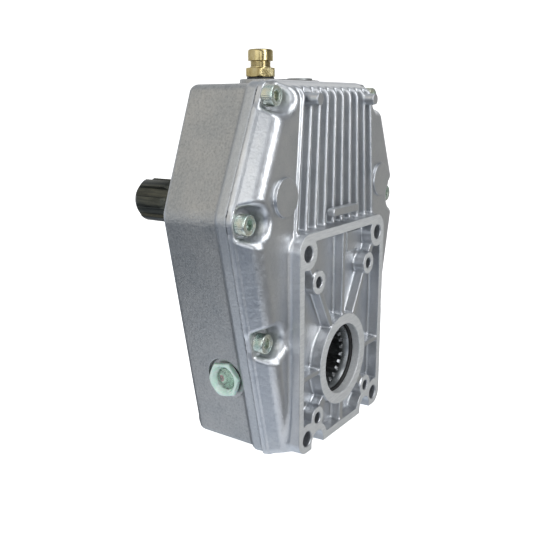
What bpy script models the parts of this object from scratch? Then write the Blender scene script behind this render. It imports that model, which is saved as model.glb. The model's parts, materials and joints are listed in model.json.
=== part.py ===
"""Pump drive gearbox: a cast two-part casing, a six-spline input shaft, a spur
gear pair and a hollow splined pinion behind a square pump plate.

Sizes are in millimetres in the gearbox's own frame: x across, y from the pump
plate's face back towards the input shaft, z up, with the pump bore's axis at
x = 0, z = 0. put() moves them to metres with the origin at the middle of the base.
"""

import math

import bmesh
import bpy
from mathutils import Matrix, Vector

# ---------------------------------------------------------------- dimensions
MM = 0.001
MIDDLE_Y = 93.0          # middle of the overall length
BASE_Z = -55.5           # underside of the feet
GAP = 0.3                # clearance between touching pieces

# casing outline at each depth: top corner, widest corner, bottom corner (x, z)
SEAM = ((66.5, 192.0), (102.0, 111.0), (64.5, -55.5))
SEAM_ROUND = (7.0, 12.0, 7.0)
COVER_BACK_Y = 25.7
REAR_FRONT_Y = 26.5
GASKET_Y = (25.9, 26.3)
SEAT_Y = 22.0            # faces the cover screws bear on
SHOULDER_Y = 8.0         # front wall of the cover
WALL_Y = 14.0            # inside of that wall
FIN_WALL_Y = 16.0        # inside of the wall behind the fins
REAR_Y = 83.5            # back of the casing

# pump plate
PLATE_HALF = 60.0
PLATE_TOP = 98.0
PLATE_BOTTOM = -53.0
RAIL = 6.0
POCKET_Y = 8.5           # floor between the ribs
PILOT_R = 25.4
PILOT_DEPTH = 6.3
RING_R = 33.0
OUTER_HOLES = ((49.2, 85.0), (49.2, -43.0))
INNER_HOLES = ((35.75, 63.7), (35.75, -32.5))
OUTER_BOSS_R = 10.8
INNER_BOSS_R = 8.0
OUTER_HOLE_R = 5.25
INNER_HOLE_R = 3.8
NOTCH_X = 35.5
NOTCH_Z = -50.0
NOTCH_R = 7.8

# fins
FIN_COUNT = 10
FIN_TIP_Y = 6.3
FIN_ROOT_Y = 12.2
FIN_LOW = (98.0, 53.4)   # z and half-width of the outermost fin centres
FIN_HIGH = (186.0, 45.3)

# cover screws: x, z of the three on each side and of the one below
SIDE_SCREWS = ((64.3, 182.9), (93.2, 108.3), (75.6, 29.5))
LOW_SCREW = (35.5, -48.9)
SCREW_R = 3.7
HEAD_R = 6.5
HEAD_Y = 14.3
DOWEL = (85.5, 65.0)

# shafts and gears
CENTRES = 102.0
MODULE = 3.0
GEAR_TEETH = 45
PINION_TEETH = 23
GEAR_Y = (33.0, 57.0)
PINION_Y = (32.5, 57.5)
SHAFT_TIP_Y = 187.5
HUB_Y = 94.0

# ports
PORT_X = 24.5
PORT_Y = 54.0
PAD_Z = 194.0
SIDE_PORT = (48.9, -1.5)  # y, z
SIDE_SEAT_X = 72.4

# ------------------------------------------------------------------- set-up
for old in list(bpy.data.objects):
    bpy.data.objects.remove(old, do_unlink=True)

PARTS = bpy.data.collections.new("pump_drive_gearbox")
CUTTERS = bpy.data.collections.new("cutters")
bpy.context.scene.collection.children.link(PARTS)
bpy.context.scene.collection.children.link(CUTTERS)


def material(name, colour, roughness, metallic, alpha=1.0):
    made = bpy.data.materials.new(name)
    made.use_nodes = True
    shader = made.node_tree.nodes["Principled BSDF"]
    shader.inputs["Base Color"].default_value = (*colour, 1.0)
    shader.inputs["Roughness"].default_value = roughness
    shader.inputs["Metallic"].default_value = metallic
    shader.inputs["Alpha"].default_value = alpha
    made.diffuse_color = (*colour, alpha)
    return made


CAST_REAR = ("cast aluminium, sand finish", (0.56, 0.57, 0.57), 0.55, 0.6)
CAST_FRONT = ("cast aluminium, bright", (0.66, 0.69, 0.73), 0.32, 0.85)
ZINC = ("zinc plate", (0.62, 0.63, 0.55), 0.3, 1.0)
BRASS = ("brass", (0.62, 0.52, 0.24), 0.28, 1.0)
DARK_STEEL = ("oiled steel", (0.07, 0.075, 0.07), 0.4, 0.8)
GEAR_STEEL = ("ground steel", (0.35, 0.36, 0.37), 0.3, 1.0)
RACE_STEEL = ("bearing steel", (0.6, 0.61, 0.63), 0.18, 1.0)
RUBBER = ("black rubber", (0.02, 0.02, 0.02), 0.7, 0.0)
GREEN_PLASTIC = ("pale green plastic", (0.66, 0.80, 0.72), 0.3, 0.0)
WINDOW = ("clear plastic", (0.85, 0.92, 0.88), 0.08, 0.0, 0.4)
RED = ("red and white disc", (0.75, 0.25, 0.3), 0.4, 0.0)
PAPER = ("gasket paper", (0.05, 0.05, 0.06), 0.8, 0.0)
COPPER = ("copper washer", (0.55, 0.33, 0.22), 0.4, 1.0)


# ------------------------------------------------------------ basic builders
def put(bm, name, anchor=(0.0, 0.0, 0.0)):
    """An object from a mesh in millimetres, with its origin at the anchor."""
    centre = Vector(anchor)
    bmesh.ops.recalc_face_normals(bm, faces=bm.faces)
    if bm.calc_volume(signed=True) < 0:
        bmesh.ops.reverse_faces(bm, faces=bm.faces)
    for vert in bm.verts:
        vert.co = (vert.co - centre) * MM
    mesh = bpy.data.meshes.new(name)
    bm.to_mesh(mesh)
    bm.free()
    obj = bpy.data.objects.new(name, mesh)
    obj.location = ((centre.x) * MM, (centre.y - MIDDLE_Y) * MM, (centre.z - BASE_Z) * MM)
    CUTTERS.objects.link(obj)
    return obj


def along(axis):
    """The rotation that turns +Z to the axis."""
    return {
        "X": Matrix.Rotation(math.pi / 2, 4, "Y"),
        "Y": Matrix.Rotation(-math.pi / 2, 4, "X"),
        "Z": Matrix.Identity(4),
    }[axis]


def round_bar(start, end, radius, axis="Y", sides=24, end_radius=None, turn=0.0):
    """A cylinder or cone from one point to another along an axis."""
    start, end = Vector(start), Vector(end)
    bm = bmesh.new()
    bmesh.ops.create_cone(
        bm,
        cap_ends=True,
        segments=sides,
        radius1=radius,
        radius2=radius if end_radius is None else end_radius,
        depth=(end - start).length,
        matrix=Matrix.Translation((start + end) / 2)
        @ along(axis)
        @ Matrix.Rotation(turn, 4, "Z"),
    )
    return put(bm, "round_bar")


def block(low, high):
    """A box between two corners."""
    low, high = Vector(low), Vector(high)
    bm = bmesh.new()
    bmesh.ops.create_cube(
        bm,
        size=1.0,
        matrix=Matrix.Translation((low + high) / 2)
        @ Matrix.Diagonal((*(high - low), 1.0)),
    )
    return put(bm, "block")


def strut(start, end, width, y0, y1):
    """A straight rib in the plane of the plate, between two (x, z) points."""
    (x0, z0), (x1, z1) = start, end
    length = math.hypot(x1 - x0, z1 - z0)
    bm = bmesh.new()
    bmesh.ops.create_cube(
        bm,
        size=1.0,
        matrix=Matrix.Translation(((x0 + x1) / 2, (y0 + y1) / 2, (z0 + z1) / 2))
        @ Matrix.Rotation(-math.atan2(z1 - z0, x1 - x0), 4, "Y")
        @ Matrix.Diagonal((length, y1 - y0, width, 1.0)),
    )
    return put(bm, "strut")


def loft(sections, name="loft", anchor=(0.0, 0.0, 0.0)):
    """A closed solid through sections that hold the same number of points."""
    bm = bmesh.new()
    rings = [[bm.verts.new(point) for point in section] for section in sections]
    for lower, upper in zip(rings, rings[1:]):
        for i, vert in enumerate(lower):
            j = (i + 1) % len(lower)
            bm.faces.new((vert, lower[j], upper[j], upper[i]))
    bm.faces.new(rings[0])
    bm.faces.new(rings[-1])
    return put(bm, name, anchor)


def turned(profile, axis="Y", centre=(0.0, 0.0, 0.0), sides=24, name="turned"):
    """A solid of revolution from (radius, height) points, with a Screw modifier.

    The profile runs down its outer side. A profile that starts and ends on the
    axis is open, and any other is a closed loop.
    """
    closed = profile[0][0] > 0 or profile[-1][0] > 0
    area = sum(
        a[0] * b[1] - b[0] * a[1] for a, b in zip(profile, profile[1:] + profile[:1])
    )
    points = list(profile) if area < 0 else list(reversed(profile))
    mesh = bpy.data.meshes.new(name)
    edges = [(i, i + 1) for i in range(len(points) - 1)]
    if closed:
        edges.append((len(points) - 1, 0))
    mesh.from_pydata([(r * MM, 0.0, h * MM) for r, h in points], edges, [])
    obj = bpy.data.objects.new(name, mesh)
    CUTTERS.objects.link(obj)
    screw = obj.modifiers.new("turn", "SCREW")
    screw.axis = "Z"
    screw.steps = sides
    screw.render_steps = sides
    screw.use_merge_vertices = True
    screw.merge_threshold = 0.00001
    bake(obj)
    obj.data.transform(along(axis))
    obj.location = (
        centre[0] * MM,
        (centre[1] - MIDDLE_Y) * MM,
        (centre[2] - BASE_Z) * MM,
    )
    return obj


def bake(obj):
    """Applies the object's modifiers."""
    graph = bpy.context.evaluated_depsgraph_get()
    mesh = bpy.data.meshes.new_from_object(obj.evaluated_get(graph))
    obj.modifiers.clear()
    old = obj.data
    obj.data = mesh
    bpy.data.meshes.remove(old)
    return obj


def combine(target, tools, operation):
    """Adds the tools to the target, or cuts them from it, and removes them."""
    for tool in tools:
        step = target.modifiers.new(operation.lower(), "BOOLEAN")
        step.operation = operation
        step.solver = "EXACT"
        step.object = tool
    bake(target)
    for tool in tools:
        bpy.data.objects.remove(tool, do_unlink=True)
    return target


def add(target, *tools):
    return combine(target, tools, "UNION")


def cut(target, *tools):
    return combine(target, tools, "DIFFERENCE")


def finish(obj, name, look, smooth=35.0):
    """Names the piece, gives it its material and files it with the parts."""
    bm = bmesh.new()
    bm.from_mesh(obj.data)
    bmesh.ops.remove_doubles(bm, verts=bm.verts, dist=0.000002)
    bmesh.ops.dissolve_degenerate(bm, edges=bm.edges, dist=0.000002)
    bm.to_mesh(obj.data)
    bm.free()
    obj.name = name
    obj.data.name = name
    obj.data.materials.clear()
    key = look[0]
    obj.data.materials.append(bpy.data.materials.get(key) or material(*look))
    obj.data.shade_smooth()
    obj.data.set_sharp_from_angle(angle=math.radians(smooth))
    CUTTERS.objects.unlink(obj)
    PARTS.objects.link(obj)
    return obj


def both_sides(builder, x, *rest):
    return [builder(side * x, *rest) for side in (-1, 1)]


# ----------------------------------------------------------- casing outlines
def fillet(corners, radii, steps=3):
    """The corners of a convex outline, each rounded by its own radius."""
    points = []
    count = len(corners)
    for i, (corner, radius) in enumerate(zip(corners, radii)):
        here = Vector(corner)
        back = (Vector(corners[i - 1]) - here).normalized()
        ahead = (Vector(corners[(i + 1) % count]) - here).normalized()
        half = back.angle(ahead) / 2
        middle = here + (back + ahead).normalized() * (radius / math.sin(half))
        first = here + back * (radius / math.tan(half)) - middle
        sweep = math.pi - 2 * half
        turn = 1 if first.y * back.x - first.x * back.y > 0 else -1
        for step in range(steps + 1):
            angle = turn * sweep * step / steps
            points.append(
                (
                    middle.x + first.x * math.cos(angle) - first.y * math.sin(angle),
                    middle.y + first.x * math.sin(angle) + first.y * math.cos(angle),
                )
            )
    return points


def casing(y, corners, radii=SEAM_ROUND, steps=3):
    """The six-cornered casing outline at one depth."""
    (tx, tz), (wx, wz), (bx, bz) = corners
    top, wide, low = radii
    outline = fillet(
        [(-tx, tz), (-wx, wz), (-bx, bz), (bx, bz), (wx, wz), (tx, tz)],
        [top, wide, low, low, wide, top],
        steps,
    )
    return [(x, y, z) for x, z in outline]


def disc(x, z, y0, y1, radius, sides=24, end_radius=None):
    return round_bar((x, y0, z), (x, y1, z), radius, "Y", sides, end_radius)


def fin_half(z):
    """Half-width of the outermost fin centres at one height."""
    share = (z - FIN_LOW[0]) / (FIN_HIGH[0] - FIN_LOW[0])
    return FIN_LOW[1] + share * (FIN_HIGH[1] - FIN_LOW[1])


# --------------------------------------------------------------- front cover
def make_front_cover():
    body = loft(
        [
            casing(COVER_BACK_Y, SEAM),
            casing(22.3, SEAM),
            casing(21.6, ((65.3, 190.7), (100.4, 111.0), (63.2, -54.2))),
            casing(13.0, ((63.5, 188.4), (97.6, 110.0), (60.8, -52.9)), (7, 10, 6)),
            casing(9.5, ((62.3, 187.0), (96.0, 109.5), (59.5, -52.3)), (6, 9, 5)),
            casing(SHOULDER_Y, ((59.0, 183.5), (92.6, 108.5), (56.0, -51.6)), (5, 8, 4)),
        ]
    )

    # the hollow behind the wall, kept clear of the screw pockets and the dowels
    hollow = loft(
        [
            casing(30.0, ((60.5, 185.0), (94.8, 110.5), (58.2, -47.8)), (5, 8, 5)),
            casing(FIN_WALL_Y, ((57.5, 182.0), (90.8, 109.5), (54.5, -46.8)), (5, 8, 5)),
        ]
    )
    low_hollow = loft(
        [
            [(x, y, z) for x, z in fillet(
                [(-top, 93.0), (-low, -46.5), (low, -46.5), (top, 93.0)],
                [2.0, 5.0, 5.0, 2.0], 2)]
            for y, top, low in ((18.2, 86.3, 54.1), (WALL_Y, 85.6, 53.2))
        ]
    )
    add(hollow, low_hollow)
    keep = []
    for x, z in SIDE_SCREWS:
        keep += [disc(side * x, z, 10.0, 31.0, 17.0) for side in (-1, 1)]
    keep += [disc(side * LOW_SCREW[0], LOW_SCREW[1], 10.0, 31.0, 12.2, 20) for side in (-1, 1)]
    keep += [disc(side * DOWEL[0], DOWEL[1], 10.0, 31.0, 7.0, 12) for side in (-1, 1)]
    cut(hollow, *keep)

    # pump plate, fin field and pads outside, then the hollow and its bearing bosses
    fin_side = [
        (FIN_TIP_Y, 99.0), (FIN_TIP_Y, 180.5), (7.3, 184.4), (9.6, 187.2),
        (13.0, 188.8), (17.0, 188.8), (17.0, 99.0),
    ]
    fin_slab = loft(
        [[(side * (fin_half(z) + 1.6), y, z) for y, z in fin_side] for side in (-1, 1)]
    )
    plate = loft(
        [
            [(x, y, z) for x, z in fillet(
                [(-PLATE_HALF, PLATE_TOP), (-PLATE_HALF, PLATE_BOTTOM),
                 (PLATE_HALF, PLATE_BOTTOM), (PLATE_HALF, PLATE_TOP)],
                [12.0, 10.0, 10.0, 12.0], 4)]
            for y in (0.0, 11.6)
        ]
    )
    add(
        body,
        plate,
        fin_slab,
        disc(-65.5, 122.3, 6.6, 11.0, 12.5, 24),
        disc(65.5, 122.3, 6.6, 11.0, 12.5, 24),
    )
    cut(body, hollow)
    add(body, disc(0, 0, 10.3, 28.4, 46.0, 24), disc(0, CENTRES, 13.5, 29.6, 33.5, 24))
    # the pocket of the plate, less the ring, bosses, arches, ribs and label pad
    inner = PLATE_HALF - RAIL
    pocket = loft(
        [
            [(x, y, z) for x, z in fillet(
                [(-inner, PLATE_TOP - RAIL), (-inner, PLATE_BOTTOM + RAIL),
                 (inner, PLATE_BOTTOM + RAIL), (inner, PLATE_TOP - RAIL)],
                [3.0, 3.0, 3.0, 3.0], 1)]
            for y in (-2.0, POCKET_Y)
        ]
    )
    standing = [disc(0, 0, -4.0, 12.0, RING_R, 32)]
    for x, z in OUTER_HOLES:
        standing += [disc(side * x, z, -4.0, 12.0, OUTER_BOSS_R, 16) for side in (-1, 1)]
    for x, z in INNER_HOLES:
        standing += [disc(side * x, z, -4.0, 12.0, INNER_BOSS_R, 16) for side in (-1, 1)]
    for side in (-1, 1):
        standing.append(disc(side * NOTCH_X, NOTCH_Z, -4.0, 12.0, 12.6, 20))
        standing.append(strut((side * 31.0, 0.0), (side * 56.0, 0.0), 3.4, 1.0, 12.0))
        (x0, z0), (x1, z1) = INNER_HOLES[0], OUTER_HOLES[0]
        standing.append(strut((side * 15.0, 26.7), (side * x0, z0), 4.2, 1.2, 12.0))
        standing.append(strut((side * x0, z0), (side * x1, z1), 5.0, 1.2, 12.0))
        x0, z0 = INNER_HOLES[1]
        standing.append(strut((side * 20.0, -18.2), (side * x0, z0), 7.0, 1.2, 12.0))
    standing.append(strut((0.0, 30.0), (0.0, 94.0), 3.6, 1.0, 12.0))
    standing.append(strut((0.0, -30.0), (0.0, -49.0), 4.6, 1.0, 12.0))
    standing.append(block((16.0, 7.4, 74.5), (37.0, 12.0, 89.0)))
    cut(pocket, *standing)
    cut(body, pocket)

    # fins' grooves, in one cutter for each gap
    grooves = []
    for gap in range(FIN_COUNT - 1):
        share = (gap + 0.5) / (FIN_COUNT - 1) * 2 - 1
        sections = []
        for y, half in ((FIN_TIP_Y - 3.0, 4.1), (FIN_ROOT_Y, 3.0)):
            section = []
            for z in (PLATE_TOP, 196.0):
                centre = share * fin_half(z)
                width = half + (0.75 if z < 150 else 0.0)
                section += [(centre - width, y, z), (centre + width, y, z)]
            sections.append([section[0], section[1], section[3], section[2]])
        grooves.append(loft(sections))
    cut(body, *grooves)
    add(
        body,
        block((-21.0, 1.4, 105.9), (21.0, 13.0, 110.1)),
        disc(-37.4, 181.4, -1.5, 13.0, 4.0, 14),
        disc(37.4, 181.4, -1.5, 13.0, 4.0, 14),
    )

    # bores, holes, screw pockets and notches
    holes = [
        disc(0, 0, -2.0, PILOT_DEPTH + 1.0, PILOT_R, 32),
        disc(0, 0, PILOT_DEPTH, 13.0, 31.0, 24),
        disc(0, 0, 12.0, 32.0, 40.3, 24),
        disc(0, CENTRES, FIN_WALL_Y, 34.0, 27.8, 24),
    ]
    for x, z in OUTER_HOLES:
        holes += [disc(side * x, z, -2.0, 11.8, OUTER_HOLE_R, 12) for side in (-1, 1)]
    for x, z in INNER_HOLES:
        holes += [disc(side * x, z, -2.0, 11.8, INNER_HOLE_R, 10) for side in (-1, 1)]
    for x, z in SIDE_SCREWS:
        for side in (-1, 1):
            holes.append(disc(side * x, z, SEAT_Y, 3.0, 11.0, 16, 15.0))
            holes.append(disc(side * x, z, SEAT_Y - 1, 28.0, SCREW_R + 0.4, 12))
    for side in (-1, 1):
        holes.append(disc(side * NOTCH_X, NOTCH_Z, -3.0, SEAT_Y, NOTCH_R, 20))
        holes.append(
            block(
                (side * NOTCH_X - NOTCH_R, -3.0, -60.0),
                (side * NOTCH_X + NOTCH_R, SEAT_Y, NOTCH_Z),
            )
        )
        holes.append(disc(side * LOW_SCREW[0], LOW_SCREW[1], SEAT_Y - 1, 28.0, SCREW_R + 0.4, 12))
        holes.append(disc(side * DOWEL[0], DOWEL[1], 18.0, 28.0, 3.2, 12))
    cut(body, *holes)
    return finish(body, "front_cover", CAST_FRONT)


# -------------------------------------------------------------- rear housing
def make_rear_housing():
    body = loft(
        [
            casing(REAR_FRONT_Y, SEAM),
            casing(34.4, ((66.3, 191.8), (101.8, 111.0), (64.3, -55.5))),
            casing(35.3, ((64.9, 190.6), (100.0, 111.0), (63.6, -53.2))),
            casing(79.0, ((64.4, 190.4), (95.8, 109.4), (63.9, -52.2))),
            casing(82.0, ((62.8, 188.9), (94.2, 109.2), (62.8, -50.2))),
            casing(REAR_Y, ((60.4, 186.6), (91.8, 109.0), (60.4, -47.8)), (5, 10, 5)),
        ]
    )
    feet = [
        block((min(side * 22.0, side * 49.0), 33.0, BASE_Z), (max(side * 22.0, side * 49.0), 81.0, -46.0))
        for side in (-1, 1)
    ]
    pad = loft(
        [
            [(x, y, z) for x, y in fillet(
                [(-38.5, 37.0), (-38.5, 71.0), (38.5, 71.0), (38.5, 37.0)],
                [16.9] * 4, 5)]
            for z in (184.0, PAD_Z)
        ]
    )
    hub = turned([(0, 79), (42, 79), (41.4, 85), (38.6, HUB_Y - 1.5), (37.0, HUB_Y), (0, HUB_Y)],
                 "Y", (0, 0, CENTRES), 24)
    heels = [disc(side * 50.0, -44.5, 79.3, 87.0, 10.0, 18) for side in (-1, 1)]
    add(body, *feet, *heels, pad, hub)

    hollow = loft(
        [
            casing(20.0, ((60.5, 185.0), (94.8, 110.5), (58.2, -47.8)), (5, 8, 5)),
            casing(77.5, ((58.0, 183.5), (91.8, 110.0), (56.4, -45.2)), (5, 8, 5)),
        ]
    )
    keep = [
        disc(0, 0, 59.6, 82.0, 46.0, 24),
        disc(0, CENTRES, 58.6, 82.0, 46.0, 24),
    ]
    for x, z in SIDE_SCREWS:
        keep += [disc(side * x, z, 15.0, 44.0, 8.8, 12) for side in (-1, 1)]
    for side in (-1, 1):
        keep.append(disc(side * LOW_SCREW[0], LOW_SCREW[1], 15.0, 44.0, 8.4, 12))
        keep.append(disc(side * DOWEL[0], DOWEL[1], 15.0, 42.0, 7.0, 10))
        keep.append(
            round_bar((side * 63.0, *SIDE_PORT), (side * 80.0, *SIDE_PORT), 12.0, "X", 16)
        )
    cut(hollow, *keep)
    cut(body, hollow)

    holes = [
        disc(0, 0, 55.0, 76.0, 40.3, 24),
        disc(0, CENTRES, 55.0, 77.3, 40.3, 24),
        disc(0, CENTRES, 76.0, 83.0, 24.6, 24),
        disc(0, CENTRES, 81.5, HUB_Y + 3, 27.5, 24),
    ]
    for x, z in (*SIDE_SCREWS, LOW_SCREW):
        holes += [disc(side * x, z, 20.0, 33.2, SCREW_R + 0.4, 12) for side in (-1, 1)]
    for side in (-1, 1):
        holes.append(disc(side * DOWEL[0], DOWEL[1], 20.0, 34.0, 3.2, 12))
        holes.append(
            round_bar((side * PORT_X, PORT_Y, 176.0), (side * PORT_X, PORT_Y, 200.0), 6.6, "Z", 16)
        )
        seat = round_bar(
            (side * SIDE_SEAT_X, *SIDE_PORT), (side * 110.0, *SIDE_PORT), 14.8, "X", 24
        )
        port = round_bar((side * 55.0, *SIDE_PORT), (side * 90.0, *SIDE_PORT), 8.5, "X", 16)
        holes += [seat, port]
    cut(body, *holes)
    return finish(body, "rear_housing", CAST_REAR)


def make_gasket():
    y0, y1 = GASKET_Y
    outer = ((66.2, 191.7), (101.7, 111.0), (64.2, -55.2))
    body = loft([casing(y, outer) for y in (y0, y1)])
    inner = ((60.5, 185.0), (94.8, 110.5), (58.2, -47.8))
    hollow = loft([casing(y, inner, (5, 8, 5)) for y in (y0 - 3, y1 + 3)])
    keep = []
    for x, z in SIDE_SCREWS:
        keep += [disc(side * x, z, y0 - 5, y1 + 5, 8.8, 12) for side in (-1, 1)]
    for side in (-1, 1):
        keep.append(disc(side * LOW_SCREW[0], LOW_SCREW[1], y0 - 5, y1 + 5, 8.4, 12))
        keep.append(disc(side * DOWEL[0], DOWEL[1], y0 - 5, y1 + 5, 7.0, 10))
    cut(hollow, *keep)
    holes = [hollow]
    for x, z in (*SIDE_SCREWS, LOW_SCREW):
        holes += [disc(side * x, z, y0 - 2, y1 + 2, SCREW_R + 0.6, 8) for side in (-1, 1)]
    holes += [disc(side * DOWEL[0], DOWEL[1], y0 - 2, y1 + 2, 3.5, 8) for side in (-1, 1)]
    cut(body, *holes)
    return finish(body, "housing_gasket", PAPER)


# ----------------------------------------------------------------- fasteners
def make_screws():
    """M8 socket head screws: heads in the pockets, shanks in the rear half's lip."""
    screw = turned(
        [
            (0, HEAD_Y), (HEAD_R - 0.7, HEAD_Y), (HEAD_R, HEAD_Y + 0.7),
            (HEAD_R, SEAT_Y - GAP), (SCREW_R, SEAT_Y - GAP), (SCREW_R, 32.6), (0, 32.6),
        ],
        "Y", (0, 0, 0), 12,
    )
    cut(screw, round_bar((0, HEAD_Y - 2, 0), (0, HEAD_Y + 4, 0), 3.46, "Y", 6))
    places = [(side * x, z) for x, z in (*SIDE_SCREWS, LOW_SCREW) for side in (-1, 1)]
    for number, (x, z) in enumerate(places, 1):
        copy = bpy.data.objects.new("cover_screw", screw.data.copy())
        copy.location = (x * MM, -MIDDLE_Y * MM, (z - BASE_Z) * MM)
        CUTTERS.objects.link(copy)
        finish(copy, f"cover_screw_{number}", ZINC)
    bpy.data.objects.remove(screw, do_unlink=True)


def make_dowels():
    for side, name in ((-1, "dowel_pin_left"), (1, "dowel_pin_right")):
        pin = turned(
            [(0, 18.5), (2.3, 18.5), (2.9, 19.1), (2.9, 32.9), (2.3, 33.5), (0, 33.5)],
            "Y", (side * DOWEL[0], 0, DOWEL[1]), 12,
        )
        finish(pin, name, RACE_STEEL)


# ------------------------------------------------------------------ fittings
def hexagon(across_flats, turn=0.0):
    radius = across_flats / math.sqrt(3)
    return [
        (radius * math.cos(turn + math.pi / 3 * i), radius * math.sin(turn + math.pi / 3 * i))
        for i in range(6)
    ]


def make_top_fittings():
    x, y = -PORT_X, PORT_Y
    washer = turned([(6.9, 194.3), (9.2, 194.3), (9.2, 195.1), (6.9, 195.1)], "Z", (x, y, 0), 16)
    finish(washer, "breather_washer", RUBBER)

    # the hexagon's corner faces the viewer's left front
    turn = math.atan2(-0.555, -0.832)
    hexa = loft([[(x + a, y + b, z) for a, b in hexagon(19.0, turn)] for z in (195.4, 201.3)])
    stem = turned(
        [(0, 184.0), (6.2, 184.0), (6.2, 198.0), (6.8, 199.0), (6.8, 205.3), (5.0, 205.3),
         (5.0, 210.8), (0, 210.8)],
        "Z", (x, y, 0), 16,
    )
    add(stem, hexa)
    cut(stem, round_bar((x, y, 180.0), (x, y, 209.0), 2.4, "Z", 8))
    finish(stem, "breather_body", BRASS)
    cap = turned(
        [(5.4, 205.6), (8.4, 205.6), (8.4, 212.1), (7.2, 213.3), (0, 213.3), (0, 211.2), (5.4, 211.2)],
        "Z", (x, y, 0), 20,
    )
    finish(cap, "breather_cap", BRASS)

    plug = turned([(0, 184.5), (6.3, 184.5), (6.3, 194.3), (9.4, 194.3), (9.4, 195.3), (8.8, 195.8), (0, 195.8)],
                  "Z", (PORT_X, PORT_Y, 0), 16)
    cut(plug, round_bar((PORT_X, PORT_Y, 190.0), (PORT_X, PORT_Y, 197.0), 3.46, "Z", 6))
    finish(plug, "filler_plug", DARK_STEEL)


def make_side_fittings():
    y, z = SIDE_PORT
    left = -SIDE_SEAT_X
    seal = turned([(8.9, left - 1.3), (10.6, left - 1.3), (10.6, left - 0.3), (8.9, left - 0.3)],
                  "X", (0, 0, 0), 16)
    place_side(seal, y, z)
    finish(seal, "sight_glass_seal", RUBBER)

    body = loft(
        [[(px, y + a, z + b) for a, b in hexagon(22.0)] for px in (left - 6.0, left - 1.6)]
    )
    add(body, round_bar((left - 2.0, y, z), (-60.5, y, z), 8.1, "X", 16))
    cut(
        body,
        round_bar((left - 8.0, y, z), (-68.5, y, z), 7.6, "X", 16),
        round_bar((-70.0, y, z), (-58.0, y, z), 5.2, "X", 12),
    )
    finish(body, "sight_glass_body", GREEN_PLASTIC)
    window = turned([(0, -74.9), (7.2, -74.9), (7.2, -73.3), (0, -73.3)], "X", (0, 0, 0), 16)
    place_side(window, y, z)
    finish(window, "sight_glass_window", WINDOW)
    reflector = turned(
        [(0, -70.6), (7.2, -70.6), (7.2, -69.0), (0, -69.0)], "X", (0, 0, 0), 16
    )
    place_side(reflector, y, z)
    finish(reflector, "sight_glass_reflector", RED)

    right = SIDE_SEAT_X
    washer = turned([(8.9, right + 0.3), (11.4, right + 0.3), (11.4, right + 1.5), (8.9, right + 1.5)],
                    "X", (0, 0, 0), 16)
    place_side(washer, y, z)
    finish(washer, "drain_plug_washer", COPPER)
    plug = turned(
        [(0, 60.5), (8.1, 60.5), (8.1, right + 1.8), (11.0, right + 1.8), (11.0, right + 4.9),
         (10.2, right + 5.6), (0, right + 5.6)],
        "X", (0, 0, 0), 16,
    )
    place_side(plug, y, z)
    cut(plug, round_bar((68.0, y, z), (90.0, y, z), 4.62, "X", 6))
    finish(plug, "drain_plug", DARK_STEEL)


def place_side(obj, y, z):
    """Moves a piece turned about X to the side port's axis."""
    obj.location.y += y * MM
    obj.location.z += z * MM


# --------------------------------------------------------------------- gears
def gear_outline(teeth, module, thin, start, flank=3):
    """A spur gear's outline: involute flanks at a 20 degree pressure angle."""
    pitch = teeth * module / 2
    base = pitch * math.cos(math.radians(20))
    tip, root = pitch + module, pitch - 1.25 * module
    lowest = max(base, root)

    def involute(radius):
        angle = math.acos(min(1.0, base / radius))
        return math.tan(angle) - angle

    half = (math.pi * module / 2 - thin) / (2 * pitch) + involute(pitch)
    radii = [lowest + (tip - lowest) * i / (flank - 1) for i in range(flank)]
    side = [(radius, half - involute(radius)) for radius in radii]
    if root < base - 0.01:
        side.insert(0, (root, side[0][1] + 0.004))
    outline = []
    for tooth in range(teeth):
        middle = start + 2 * math.pi * tooth / teeth
        for radius, angle in side:
            outline.append((radius * math.cos(middle - angle), radius * math.sin(middle - angle)))
        for radius, angle in reversed(side):
            outline.append((radius * math.cos(middle + angle), radius * math.sin(middle + angle)))
    return outline


def make_gears():
    # a tooth of the gear points down into a space of the pinion
    outline = gear_outline(GEAR_TEETH, MODULE, 0.3, -math.pi / 2)
    gear = loft(
        [[(x, y, CENTRES + z) for x, z in outline] for y in GEAR_Y],
        "gear", (0, 0, CENTRES),
    )
    web = []
    for y0, y1 in ((GEAR_Y[0] - 2, GEAR_Y[0] + 5), (GEAR_Y[1] - 5, GEAR_Y[1] + 2)):
        web.append(
            turned([(33, y0), (56, y0), (56, y1), (33, y1)], "Y", (0, 0, CENTRES), 16)
        )
    cut(
        gear,
        *web,
        disc(0, CENTRES, 28.0, 62.0, 21.0, 24),
        block((-5.15, 28.0, CENTRES), (5.15, 62.0, CENTRES + 24.2)),
    )
    finish(gear, "drive_gear", GEAR_STEEL)

    outline = gear_outline(
        PINION_TEETH, MODULE, 0.3, math.pi / 2 + math.pi / PINION_TEETH
    )
    pinion = loft([[(x, y, z) for x, z in outline] for y in PINION_Y])
    add(
        pinion,
        turned(
            [(0, 8.5), (23.4, 8.5), (24.7, 9.8), (24.7, 28.6), (28.6, 28.6), (28.6, 59.2),
             (24.7, 59.2), (24.7, 74.6), (23.6, 75.7), (0, 75.7)],
            "Y", (0, 0, 0), 24,
        ),
    )
    spline = []
    for tooth in range(24):
        middle = 2 * math.pi * (tooth + 0.5) / 24
        for radius, angle in ((20.0, -0.075), (22.0, -0.048), (22.0, 0.048), (20.0, 0.075)):
            spline.append((radius * math.cos(middle + angle), radius * math.sin(middle + angle)))
    cut(
        pinion,
        loft([[(x, y, z) for x, z in spline] for y in (4.0, 80.0)]),
    )
    finish(pinion, "output_pinion", GEAR_STEEL)


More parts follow.
